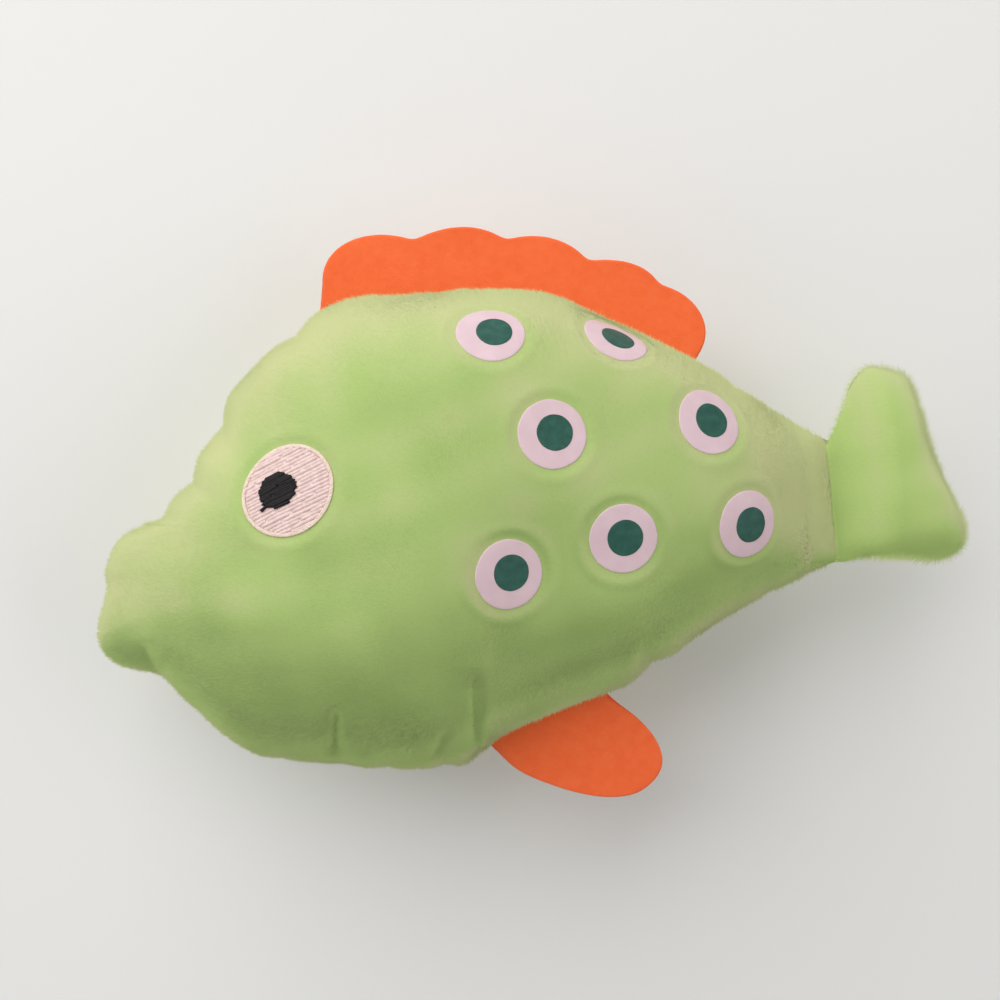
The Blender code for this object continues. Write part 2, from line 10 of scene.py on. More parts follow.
import bpy
import numpy as np
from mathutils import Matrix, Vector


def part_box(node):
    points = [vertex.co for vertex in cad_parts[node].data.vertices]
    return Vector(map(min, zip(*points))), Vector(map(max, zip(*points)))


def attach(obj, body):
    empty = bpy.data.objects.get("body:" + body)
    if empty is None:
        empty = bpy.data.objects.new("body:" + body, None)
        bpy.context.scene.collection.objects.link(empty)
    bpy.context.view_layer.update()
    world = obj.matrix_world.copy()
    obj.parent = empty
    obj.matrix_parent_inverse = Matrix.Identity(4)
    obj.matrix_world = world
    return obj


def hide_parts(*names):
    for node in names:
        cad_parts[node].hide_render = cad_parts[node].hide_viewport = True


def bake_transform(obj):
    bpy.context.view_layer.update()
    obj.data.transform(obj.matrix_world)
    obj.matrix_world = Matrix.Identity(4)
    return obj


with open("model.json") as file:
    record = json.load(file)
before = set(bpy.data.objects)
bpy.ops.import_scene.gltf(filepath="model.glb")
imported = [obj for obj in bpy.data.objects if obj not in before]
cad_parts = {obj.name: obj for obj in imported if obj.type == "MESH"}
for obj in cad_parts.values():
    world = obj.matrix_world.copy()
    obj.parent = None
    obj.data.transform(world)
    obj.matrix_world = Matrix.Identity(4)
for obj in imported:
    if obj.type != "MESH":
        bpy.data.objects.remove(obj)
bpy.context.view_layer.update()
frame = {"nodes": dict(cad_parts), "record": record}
JOINTS = {joint["name"]: joint for joint in frame["record"]["behaviour"]["joints"]}

SEED = 11
MILLIMETRE = 0.001
REST_POINT = frame["record"]["mounts"][0]["pos_m"]
SEAM_GAP = 0.15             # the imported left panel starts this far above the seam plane
SEAM_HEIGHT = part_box("left_side_panel")[0].z - SEAM_GAP * MILLIMETRE
ORIGIN = np.array([REST_POINT[0], REST_POINT[1], SEAM_HEIGHT])
FLOOR = -SEAM_HEIGHT / MILLIMETRE
SIDES = {"left": 1, "right": -1}

# Body: seam from the top of the tail crease, over the back and head, along the belly to the crease's foot
BODY_SEAM = [
    (94.1, 20.2), (78.4, 29.7), (61.8, 39.2), (45.7, 47.5), (29.9, 53.8), (13.8, 55.0), (-2.2, 53.6),
    (-18.4, 52.5), (-31.8, 41.8), (-43.3, 31.1), (-49.6, 14.6), (-57.0, 3.7), (-62.8, 1.8), (-69.2, -2.0),
    (-72.5, -9.2), (-72.4, -14.6), (-74.3, -25.2), (-69.9, -31.8), (-58.4, -35.0), (-50.8, -40.0),
    (-44.6, -46.2), (-36.6, -51.8), (-27.0, -53.5), (-6.9, -54.5), (12.1, -54.0), (19.3, -47.8),
    (31.1, -42.2), (45.5, -37.2), (52.9, -32.0), (74.0, -19.3), (87.8, -12.1), (96.8, -7.8),
]
CROWN, CROWN_SNOUT = 36.0, 28.0
SNOUT_FALL_START = -20.0
BULGE = 2.6                 # how full the stuffed section is, 2 is an ellipse
REAR_START, REAR_END = -5.0, 30.0       # between these x the round crown turns into sections
REAR_LEVEL, REAR_POWER = 0.42, 6.0      # share of the rear's fall that is even, and how late the rest comes
REAR_RIDGE = 0.13           # how far towards the back its ridge lies

# Tail: outline round the fork, and how far its edge at the crease is tucked into the body
TAIL_SEAM = [
    (96.9, 28.5), (98.2, 34.0), (102.3, 38.3), (109.3, 37.4), (113.4, 34.5), (116.1, 24.1),
    (121.4, 10.4), (125.9, 1.4), (125.8, -5.3), (119.2, -8.7), (110.4, -8.0), (101.2, -7.8),
]
TAIL_TUCK = 1.6
TAIL_CENTRE = (110.0, 13.0)
TAIL_CROWN, TAIL_ROLL, TAIL_SWELL = 8.5, 1.8, 14.0

# Grids of the stuffed covers, and how much their inner rings soften the outline's corners
BODY_RINGS, BODY_COLUMNS, BODY_SOFTNESS = 100, 640, 15
TAIL_RINGS, TAIL_COLUMNS, TAIL_SOFTNESS = 30, 240, 12
SOFT_POWER = 12
ANGLES = 1440
CURVE_STEPS = 12
CELL_STEPS, SPOT_STEPS, LAY_STEPS = 12, 5, 8   # rounds of correction that find a place on a cover

# Hand-stuffed irregularities: puckers are (x, y, depth, width, reach), dents (x, y, depth, width)
PUCKERS = [
    (-57.3, 3.0, 0.1, 3.0, 12.0), (-51.1, 11.5, 1.8, 2.2, 15.0), (-45.5, 24.0, 1.7, 2.4, 14.0),
    (-28.5, 45.5, 1.7, 2.4, 12.0), (4.6, 55.0, 0.6, 2.0, 7.0), (53.6, -31.5, 1.3, 2.2, 9.0),
    (14.6, -52.0, 1.2, 1.8, 10.0), (6.2, -54.2, 0.7, 1.5, 7.0), (-6.7, -55.4, 0.9, 1.6, 8.0),
    (-16.5, -55.0, 0.5, 1.4, 6.0), (-31.0, -53.3, 0.6, 2.0, 7.0), (-58.4, -35.6, 1.1, 2.8, 13.0),
    (-71.8, -13.2, 0.3, 3.2, 9.0), (72.0, 33.5, 0.6, 2.0, 7.0), (80.0, -15.5, 0.7, 2.0, 7.0),
]
PUCKER_AIM = 0.6            # a pucker runs towards this share of its own x on the long axis
PUCKER_FADE, PUCKER_ROUND = 1.5, 0.2    # how soon it fades inwards, and how round its foot is
SHOULDER_HEIGHT, SHOULDER_PLACE, SHOULDER_WIDTH = 0.30, 2.6, 1.3    # shares of a pucker's depth and width
GATHERS = [                 # narrow folds: start, end, depth and width
    ((-15.2, -36.0), (-17.6, -51.5), 2.3, 1.0), ((13.8, -28.0), (13.7, -50.0), 1.5, 1.9),
    ((8.0, -42.0), (3.8, -51.0), 0.8, 0.9), ((-7.6, -41.0), (-11.0, -50.5), 0.4, 1.2),
    ((-61.2, -24.5), (-58.4, -35.0), 0.9, 2.2),
]
# fade and roundness of the gathers, and the painted shade in them
GATHER_FADE, GATHER_ROUND, GATHER_PAINTED_SHADE = 0.3, 0.25, 0.35
DENTS = [(-24.8, 8.8, 1.3, 13.0), (-34.5, -6.0, 0.9, 7.0), (-63.0, -29.0, 1.0, 6.0), (85.0, 6.0, 0.8, 9.0)]
LUMP_HEIGHT, LUMP_RISE = 0.45, 6.0      # uneven fill, in full from this far off the seam plane
PRESS, PRESS_CLEAR = 0.25, 20           # softness of the flat on the floor, not felt above so many times that
SEAM_DEPTH, SEAM_WIDTH = 0.4, 1.3
FOLD_DEPTH, FOLD_PLACE, FOLD_WIDTH, FOLD_RISE = 0.5, 6.0, 2.2, 8.0
CREASE_FADE = 7.0           # the cover is drawn in under its pile from this far away from the crease
PILE_INSET, TAIL_INSET = 1.05, 1.4

# Slow uneven fields: a key of its own, the number of waves, and the shortest and longest of them
LEFT_LUMPS, RIGHT_LUMPS = (1, 7, (22.0, 48.0)), (2, 7, (22.0, 48.0))
FIN_WAVES = (5, 4, (30.0, 70.0))
NAP_WAVES, LEAN_WAVES = (7, 6, (12.0, 40.0)), (8, 6, (12.0, 35.0))
PATCH_WAVES = (9, 8, (10.0, 45.0))
TUFT_WAVES = (11, 8, (6.0, 18.0))
CUT_WAVES = (6, (2.0, 7.0))             # each disc has a key worked out from its place
KEY_STEPS = (7, 31)

# Pressed-on spots: a pale film disc with a smaller dark one on it
SPOTS = [(16.4, 41.5), (43.4, 41.4), (63.0, 23.3), (29.1, 20.0), (71.6, 1.2), (44.1, -1.6), (20.2, -8.8)]
SPOT_RADIUS, SPOT_HEIGHT = 7.3, 0.20
CENTRE_RADIUS, CENTRE_HEIGHT = 3.82, 0.12
CENTRE_SHIFTS = [
    (0.76, 0.27), (0.50, 0.21), (0.46, 0.19), (0.55, 0.31), (0.52, -0.10), (0.30, 0.19), (0.49, 0.35),
]
DISC_COLUMNS = 96
DISC_PROFILE = [            # share of the radius, and level, from the top's middle round the edge to below
    (0.0, 1.0), (0.25, 1.0), (0.5, 1.0), (0.75, 1.0), (0.93, 1.0), (0.975, 0.93), (0.995, 0.7),
    (1.0, 0.3), (1.0, -0.5), (0.97, -1.0), (0.6, -1.0), (0.0, -1.0),
]
CUT_WOBBLE = 0.03           # unevenness of a cut edge
FILM_UNDERSIDE = -0.25

# Embroidered eye: an oval whose long axis is turned up to the right
EYE, EYE_LONG, EYE_WIDE, EYE_TURN = (-25.2, 8.5), 9.7, 8.8, math.radians(28)
BACKING_HEIGHT = 0.06
RIM_WIDTH, RIM_STITCHES, RIM_SLANT, RIM_RADIUS = 0.60, 190, 0.08, 0.2
RIM_OVERLAP, RIM_LEVEL = 0.25, 0.18     # share of its width that lies on the field, and its threads' height
STITCH_ANGLE = math.radians(23)
ROW_PITCH, STITCH_LENGTH, STITCH_RADIUS = 0.74, 9.0, 0.46
ROW_WANDER, STITCH_LEVEL = 0.09, 0.04   # how far ends of stitches stray across the row, and their heights
ROW_STAGGER, STOP_STRAY, LEAST_STITCH = 0.37, 0.3, 0.2
FIELD_RAGGED, FIELD_LEVEL = 0.1, -0.05  # how far rows end off the oval, and their threads' height
REACH_STEPS = 721
PUPIL_SHIFT = (-2.05, 0.0)
PUPIL_LONG, PUPIL_WIDE, PUPIL_PITCH, PUPIL_THREAD = 4.45, 3.5, 0.44, 0.36
PUPIL_STITCH = 3 * PUPIL_LONG           # longer than any row, so that a row is one stitch
PUPIL_RAGGED, PUPIL_LEVEL = 0.35, 0.38
LOOSE_END = ((-2.0, -3.0), (-3.5, -4.3))
PLY = 0.12
PLY_TURN = 1.6              # length of thread in which its two plies wind round once
THREAD_STEPS, THREAD_SIDES, THREAD_FLAT = 21, 8, 0.8
THREAD_DIP = 0.25           # how far the ends of a stitch sink
THREAD_BLUNT = 12           # how blunt they are

# Seats of the trim: the cover is pressed in under it and bulges a little round it
SEAT_DEPTH, SEAT_RAMP = 0.26, 2.2
RIDGE_HEIGHT, RIDGE_PLACE, RIDGE_WIDTH = 0.10, 2.6, 1.1

# Felt fins
FELT = 1.4
FIN_ROOT_DEPTH = 4.0
DORSAL_FRONT = (-22.8, 51.5)
DORSAL_NOTCHES = [(-22.3, 55.9), (-1.4, 66.1), (19.7, 66.2), (38.6, 61.4), (55.0, 56.0), (64.4, 40.5)]
DORSAL_RISES = (6.4, 3.0, 3.1, 2.6, 4.8)
DORSAL_LEANS = (-2.0, 0.8, 0.5, 1.5, 1.0)
BELLY_FIN = [
    (16.8, -50.4), (23.0, -55.9), (32.2, -59.6), (41.4, -61.6), (48.8, -61.2), (53.6, -58.2), (55.7, -53.8),
    (54.2, -48.6), (49.9, -43.6), (43.4, -39.0),
]
FIN_COLUMNS, FIN_ROWS = 260, 30
FIN_WAVE = 0.5
NOTCH_PASSES = 14           # how much the notches of the back fin are rounded
LOBE_STEPS = 40
ROOT_SKIP = 2               # points of the seam at the front that the back fin's root leaves out

# Pile: fibres per square millimetre, length, width at the root, and lean from the cover's normal
BODY_PILE, TAIL_PILE = (8.5, 1.0, 0.19), (14.0, 1.7, 0.15)
FELT_PILE = (3.0, 0.35, 0.08)
PILE_LEAN = (50.0, 72.0)
NAP = (-1.0, 0.2, 0.0)
UP = np.array([0.0, 0.0, 1.0])
BODY_FAN, TAIL_FAN = 1.25, 0.7          # how far the normals of the plush fan out, 1 is as the cover
NAP_CALM, NAP_WANDER, NAP_STRAY = 0.6, 0.5, 0.35
LEAN_WANDER = 8             # degrees
STANDING_LENGTH, CALM_LENGTH, LENGTH_SPREAD = 0.55, 0.45, (0.75, 1.2)   # shares of the pile's length
ROOT_SINK, PILE_SHADING, FIBRE_FLAT = 0.1, 0.2, 0.35
FLAT_SIDE = np.array([-0.28, 0.4, 0.64])                # turns the flat sides of the fibres this way
EDGE_RISE, EDGE_STRAY, EDGE_LONGER = 0.3, 0.3, 0.5      # where the cover is edge-on, along the seam
EDGE_LIGHT, EDGE_SPAN, EDGE_UNDER, EDGE_TURN = 3.5, 0.75, 0.6, 0.35
UNDER_START, UNDER_SPAN, UNDER_LEAST = 0.2, 0.5, 0.3    # shorter fibres on the underside
FLOOR_CLEAR, FLOOR_BARE = 0.05, 0.2     # how far tips stay off the floor, and roots below which none grow
TRIM_CLEAR, TRIM_SHORT, TRIM_GROWTH = 0.05, 0.45, 0.4   # beside the trim
CREASE_OVERLAP = 0.3        # the body's pile ends this far past the tail crease
TAIL_PILE_START, TAIL_PILE_SHORT, TAIL_PILE_GROWTH = -0.2, 0.6, 8
FUZZ_SPREAD, FUZZ_RISE, FUZZ_STRAY, FUZZ_LEAST = (0.5, 1.2), 0.55, 0.8, 0.1
PILE_STRETCHES = {
    "head": (-200.0, -30.0), "gill": (-30.0, -1.0), "middle": (-1.0, 28.0), "rear": (28.0, 200.0),
}
MAP_NAME = "OFBake"         # a fibre's map runs across by shade and up from root to tip
MAP_MARGIN, MAP_HALF, MAP_FOOT = 0.03, 0.01, 0.02

# Shade of the plush from 0 to 1: slow patches, with painted sheen, painted light and painted shade
SHADE_NAME = "plush_patches_and_painted_light"
MIDDLE_SHADE = 0.5
PATCH_SHADE, PATCH_TILT, FIBRE_SHADE, FUZZ_SHADE = 0.08, 0.6, 0.05, 0.15
# painted sheen where the cover curves away, painted light where it faces the tail, faded on the tail near the
# crease
CURVE_PAINTED_SHEEN, REAR_PAINTED_LIGHT, TAIL_CLEAR = 1.25, 0.45, 9.0
# painted shade towards the belly
BELLY_PAINTED_SHADE, BELLY_TURN, BELLY_MOST = 1.8, 0.1, 0.62
# painted shade beside the tail crease, most at its foot
CREASE_PAINTED_SHADE, CREASE_LEAST, CREASE_SOFT = 0.55, 0.25, 2.6

# Inside: wads of fill round the squeaker, which lies along x
WAD_SHARE, WAD_HEIGHT, WAD_STEP = 0.93, 0.82, 4
WAD_INSIDE, WAD_EDGE = 0.5, 0.6
BULB_PLACE, BULB_HALF, BULB_RADIUS = (8.0, -2.0), 14.6, 16.6
NECK_END, NECK_RADIUS = 31.0, 5.8
TUFT_HEIGHT = 0.03
TAIL_WAD_SHARE, TAIL_WAD_STEP = (0.86, 0.86, 0.70), 2

# Camera, light and floor
PIXEL = 0.23                # millimetres of the seam plane in one pixel of the photograph
PHOTO_SIDE = 1000
CROWN_PIXEL = (420, 528)
CAMERA_ABOVE_SEAM = 280.0
SENSOR = 36.0
NEAR_CLIP = 0.01            # metres, as the rest of the studio
PALE_FLOOR = (0.84, 0.83, 0.81, 1.0)
FLOOR_SIDE, FLOOR_ROUGHNESS = 6.0, 0.9
LAMPS = {
    "key": ((-0.50, 0.75, 0.70), 1.50, 12.5),
    "fill": ((0.90, 0.00, 0.75), 0.90, 2.8),
    "rim": ((-0.80, -0.20, 0.60), 0.70, 1.1),
}
WORLD_LIGHT = 0.35

# Finishes
PATCH_SPREAD, PATCH_DETAIL, GRAIN_DETAIL = (0.3, 0.7), 3.0, 4.0
PILE_ROUGHNESS, PILE_SPECULAR = 0.8, 0.2


def to_world(points):
    """Points in millimetres of the toy's own plane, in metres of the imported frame."""
    return ORIGIN + np.asarray(points) * MILLIMETRE


def unit(vectors):
    """Vectors of length one."""
    return vectors / np.maximum(np.linalg.norm(vectors, axis=-1, keepdims=True), 1e-12)


def ease(share):
    """Soft step from 0 to 1."""
    share = np.clip(share, 0, 1)
    return share * share * (3 - 2 * share)


def add_camera():
    """Camera straight above the middle of the photograph, with the toy's back towards the top."""
    middle = ((PHOTO_SIDE / 2 - CROWN_PIXEL[0]) * PIXEL, (CROWN_PIXEL[1] - PHOTO_SIDE / 2) * PIXEL)
    camera = bpy.data.objects.new("camera", bpy.data.cameras.new("camera"))
    camera.data.sensor_width = SENSOR
    camera.data.lens = SENSOR * CAMERA_ABOVE_SEAM / (PHOTO_SIDE * PIXEL)
    camera.location = to_world((*middle, CAMERA_ABOVE_SEAM))
    camera.data.clip_start = NEAR_CLIP
    bpy.context.scene.collection.objects.link(camera)
    bpy.context.scene.camera = camera


def add_stage():
    """Pale floor, three soft lamps aimed at the toy and an even pale surround."""
    half = FLOOR_SIDE / 2
    mesh = bpy.data.meshes.new("floor")
    corners = [(-half, -half, 0), (half, -half, 0), (half, half, 0), (-half, half, 0)]
    mesh.from_pydata(corners, [], [(0, 1, 2, 3)])
    floor = bpy.data.objects.new("floor", mesh)
    bpy.context.scene.collection.objects.link(floor)
    material = bpy.data.materials.new("pale floor")
    material.use_nodes = True
    shader = material.node_tree.nodes["Principled BSDF"]
    shader.inputs["Base Color"].default_value = PALE_FLOOR
    shader.inputs["Roughness"].default_value = FLOOR_ROUGHNESS
    mesh.materials.append(material)
    for name, (place, size, power) in LAMPS.items():
        lamp = bpy.data.lights.new(name, "AREA")
        lamp.shape = "DISK"
        lamp.size = size
        lamp.energy = power
        holder = bpy.data.objects.new(name, lamp)
        holder.location = place
        aim = -holder.location
        holder.rotation_euler = aim.to_track_quat("-Z", "Y").to_euler()
        bpy.context.scene.collection.objects.link(holder)
    world = bpy.data.worlds.new("studio")
    world.use_nodes = True
    surround = world.node_tree.nodes["Background"]
    surround.inputs["Color"].default_value = (1.0, 1.0, 1.0, 1.0)
    surround.inputs["Strength"].default_value = WORLD_LIGHT
    bpy.context.scene.world = world
    bpy.context.scene.view_settings.view_transform = "Standard"


# Finishes

def colour_ramp(tree, stops):
    """Ramp node through colours at even distances."""
    ramp = tree.nodes.new("ShaderNodeValToRGB")
    points = ramp.color_ramp.elements
    while len(points) < len(stops):
        points.new(0.5)
    for index, colour in enumerate(stops):
        points[index].position = index / (len(stops) - 1)
        points[index].color = (*colour, 1.0)
    return ramp


def noise(tree, coordinates, size, detail):
    """Noise whose patches are about size millimetres across."""
    mapping = tree.nodes.new("ShaderNodeMapping")
    mapping.inputs["Scale"].default_value = [1 / (size * MILLIMETRE)] * 3
    tree.links.new(coordinates, mapping.inputs["Vector"])
    node = tree.nodes.new("ShaderNodeTexNoise")
    node.inputs["Scale"].default_value = 1.0
    node.inputs["Detail"].default_value = detail
    tree.links.new(mapping.outputs["Vector"], node.inputs["Vector"])
    return node.outputs["Fac"]


def set_sheen(shader, weight, roughness, tint):
    """Soft light that short fibres catch at grazing angles."""
    shader.inputs["Sheen Weight"].default_value = weight
    shader.inputs["Sheen Roughness"].default_value = roughness
    shader.inputs["Sheen Tint"].default_value = (*tint, 1.0)


def finish(name, stops, patch, roughness, bump, sheen=None, specular=0.5, shade=None):
    """Material mottled through colour stops in patches, with a rougher and smoother play and a fine bump.

    bump is (grain size, strength, height), with lengths in millimetres. A piece with an attribute for its
    shade takes its place between the stops from that.
    """
    material = bpy.data.materials.new(name)
    material.use_nodes = True
    tree = material.node_tree
    shader = tree.nodes["Principled BSDF"]
    place = tree.nodes.new("ShaderNodeTexCoord").outputs["Object"]
    ramp = colour_ramp(tree, stops)
    if shade:
        own = tree.nodes.new("ShaderNodeAttribute")
        own.attribute_name = shade
        tree.links.new(own.outputs["Fac"], ramp.inputs["Fac"])
    else:
        spread = tree.nodes.new("ShaderNodeMapRange")
        spread.inputs["From Min"].default_value = PATCH_SPREAD[0]
        spread.inputs["From Max"].default_value = PATCH_SPREAD[1]
        tree.links.new(noise(tree, place, patch, PATCH_DETAIL), spread.inputs["Value"])
        tree.links.new(spread.outputs["Result"], ramp.inputs["Fac"])
    tree.links.new(ramp.outputs["Color"], shader.inputs["Base Color"])
    grain_size, strength, height = bump
    grain = noise(tree, place, grain_size, GRAIN_DETAIL)
    play = tree.nodes.new("ShaderNodeMapRange")
    play.inputs["To Min"].default_value = roughness[0]
    play.inputs["To Max"].default_value = roughness[1]
    tree.links.new(grain, play.inputs["Value"])
    tree.links.new(play.outputs["Result"], shader.inputs["Roughness"])
    relief = tree.nodes.new("ShaderNodeBump")
    relief.inputs["Strength"].default_value = strength
    relief.inputs["Distance"].default_value = height * MILLIMETRE
    tree.links.new(grain, relief.inputs["Height"])
    tree.links.new(relief.outputs["Normal"], shader.inputs["Normal"])
    shader.inputs["Specular IOR Level"].default_value = specular
    if sheen:
        set_sheen(shader, *sheen)
    return material


def pile_finish(name, stops, painted_root_shade, sheen):
    """Pile coloured by its own map: across is the shade of each fibre, up runs from its root to its tip."""
    material = bpy.data.materials.new(name)
    material.use_nodes = True
    tree = material.node_tree
    shader = tree.nodes["Principled BSDF"]
    own_map = tree.nodes.new("ShaderNodeUVMap")
    own_map.uv_map = MAP_NAME
    parts = tree.nodes.new("ShaderNodeSeparateXYZ")
    tree.links.new(own_map.outputs["UV"], parts.inputs["Vector"])
    ramp = colour_ramp(tree, stops)
    tree.links.new(parts.outputs["X"], ramp.inputs["Fac"])
    # roots painted darker than tips: painted shade between the fibres
    depth = colour_ramp(tree, [(painted_root_shade,) * 3, (1.0,) * 3])
    tree.links.new(parts.outputs["Y"], depth.inputs["Fac"])
    shaded = tree.nodes.new("ShaderNodeMix")
    shaded.data_type = "RGBA"
    shaded.blend_type = "MULTIPLY"
    shaded.inputs["Factor"].default_value = 1.0
    tree.links.new(ramp.outputs["Color"], shaded.inputs["A"])
    tree.links.new(depth.outputs["Color"], shaded.inputs["B"])
    tree.links.new(shaded.outputs["Result"], shader.inputs["Base Color"])
    shader.inputs["Roughness"].default_value = PILE_ROUGHNESS
    shader.inputs["Specular IOR Level"].default_value = PILE_SPECULAR
    set_sheen(shader, *sheen)
    return material


# Curves and meshes

def through(points, steps):
    """Open Catmull-Rom curve through points, with so many steps from each to the next."""
    p = np.asarray(points, float)
    p = np.vstack([2 * p[0] - p[1], p, 2 * p[-1] - p[-2]])
    t = (np.arange(steps) / steps)[None, :, None]
    a, b, c, d = (p[i:len(p) - 3 + i, None, :] for i in range(4))
    curve = 0.5 * (2 * b + (c - a) * t + (2 * a - 5 * b + 4 * c - d) * t ** 2
                   + (3 * b - a - 3 * c + d) * t ** 3)
    return np.vstack([curve.reshape(-1, p.shape[1]), p[-2]])


def lengths_along(line):
    """Distance of each point of a line from its start, along the line."""
    return np.concatenate([[0], np.cumsum(np.linalg.norm(np.diff(line, axis=0), axis=1))])


def along(line, shares):
    """Points at shares of the length of an open line."""
    far = lengths_along(line)
    return np.column_stack([np.interp(np.asarray(shares) * far[-1], far, axis) for axis in line.T])


def evenly(line, count):
    """Points at even spacing round a closed line."""
    return along(np.vstack([line, line[:1]]), np.arange(count) / count)


def arc(start, end, rise, lean, steps):
    """Circular arc from start to end that rises to the left of the way, without its end point.

    Its top is pushed on along the way by lean.
    """
    start, end = np.asarray(start), np.asarray(end)
    chord = end - start
    half = np.linalg.norm(chord) / 2
    radius = (half ** 2 + rise ** 2) / (2 * rise)
    middle = (start + end) / 2
    left = np.array([-chord[1], chord[0]]) / (2 * half)
    centre = middle + left * (rise - radius)
    opening = math.asin(half / radius)
    turn = np.linspace(-opening, opening, steps + 1)[:-1, None]
    push = lean * (np.cos(turn) - math.cos(opening)) / (1 - math.cos(opening))
    return centre + (radius * np.sin(turn) + push) * chord / (2 * half) + radius * np.cos(turn) * left


def round_off(line, passes):
    """Open line with its corners rounded by averaging neighbours a number of times."""
    for _ in range(passes):
        line = np.vstack([line[:1], (line[:-2] + 2 * line[1:-1] + line[2:]) / 4, line[-1:]])
    return line


def soften(values, width):
    """Closed row of values averaged with its neighbours by a bell curve of that many steps."""
    waves = np.fft.rfftfreq(len(values))
    return np.fft.irfft(np.fft.rfft(values) * np.exp(-2 * (math.pi * width * waves) ** 2), len(values))


def waves(x, y, key, count, lengths):
    """Slow uneven field of about unit height: sine waves in different directions, seeded by key."""
    draw = np.random.default_rng(SEED + key)
    total = np.zeros_like(x)
    for _ in range(count):
        heading, start = draw.uniform(0, 2 * math.pi, 2)
        wave = 2 * math.pi / draw.uniform(*lengths)
        total += np.sin(wave * (x * math.cos(heading) + y * math.sin(heading)) + start)
    return total / math.sqrt(count)


def grid_faces(rows, columns, wrap=True):
    """Quads between the points of a grid, row by row, closed round the columns where wrap says so."""
    r, c = np.meshgrid(np.arange(rows - 1), np.arange(columns if wrap else columns - 1), indexing="ij")
    here, after = r * columns + c, r * columns + (c + 1) % columns
    return np.stack([here, after, after + columns, here + columns], -1).reshape(-1, 4)


def closed_grids(points):
    """Points and faces of closed forms, one for each first index, as grids whose end rows are poles."""
    count, rows, columns, _ = points.shape
    rounds = points[:, 1:-1].reshape(count, -1, 3)
    vertices = np.concatenate([rounds, points[:, :1, 0], points[:, -1:, 0]], 1)
    now = np.arange(columns)
    after, last, pole = (now + 1) % columns, (rows - 3) * columns, np.full(columns, rounds.shape[1])
    first_cap = np.stack([pole, after, now], -1)
    last_cap = np.stack([pole + 1, last + now, last + after], -1)
    caps = np.concatenate([first_cap, last_cap])
    start = (np.arange(count) * vertices.shape[1])[:, None, None]
    quads = (grid_faces(rows - 2, columns) + start).reshape(-1, 4)
    return vertices.reshape(-1, 3), [quads, (caps + start).reshape(-1, 3)]


def between(field, row, column, after, down, over):
    """Values of a grid field between its points, a share of the way down a row and over to column after."""
    return ((1 - down) * ((1 - over) * field[row, column] + over * field[row, after])
            + down * ((1 - over) * field[row + 1, column] + over * field[row + 1, after]))


def outward(points, faces):
    """Faces in the order that makes the volume inside them positive."""
    p = points - points.mean(axis=0)
    volume = sum(np.einsum("ij,ij", p[f[:, 0]], np.cross(p[f[:, k]], p[f[:, k + 1]]))
                 for f in faces for k in range(1, f.shape[1] - 1))
    return faces if volume > 0 else [f[:, ::-1] for f in faces]


def new_piece(name, points, faces, material, slot):
    """Smooth shaded closed mesh, from points in millimetres and arrays of faces of equal size."""
    faces = outward(points, faces)
    corners = np.concatenate([f.ravel() for f in faces]).astype(np.int32)
    sizes = np.concatenate([np.full(len(f), f.shape[1]) for f in faces])
    starts = np.concatenate([[0], np.cumsum(sizes)[:-1]]).astype(np.int32)
    mesh = bpy.data.meshes.new(name)
    mesh.vertices.add(len(points))
    mesh.vertices.foreach_set("co", to_world(points).astype(np.float32).ravel())
    mesh.loops.add(len(corners))
    mesh.loops.foreach_set("vertex_index", corners)
    mesh.polygons.add(len(starts))
    mesh.polygons.foreach_set("loop_start", starts)
    mesh.update(calc_edges=True)
    mesh.shade_smooth()
    mesh.materials.append(material)
    piece = bpy.data.objects.new(name, mesh)
    bpy.context.scene.collection.objects.link(piece)
    return piece


# Lines that the forms share

BODY_LINE = through(BODY_SEAM, CURVE_STEPS)
BACK_LINE = BODY_LINE[:int(np.argmax(BODY_LINE[:, 1])) + 1][::-1]
BELLY_LINE = BODY_LINE[int(np.argmin(BODY_LINE[:, 1])):]
CREASE_TOP, CREASE_FOOT = np.array(BODY_SEAM[0]), np.array(BODY_SEAM[-1])
CREASE_ALONG = unit(CREASE_TOP - CREASE_FOOT)
CREASE_OUT = np.array([CREASE_ALONG[1], -CREASE_ALONG[0]])


# Stuffed forms

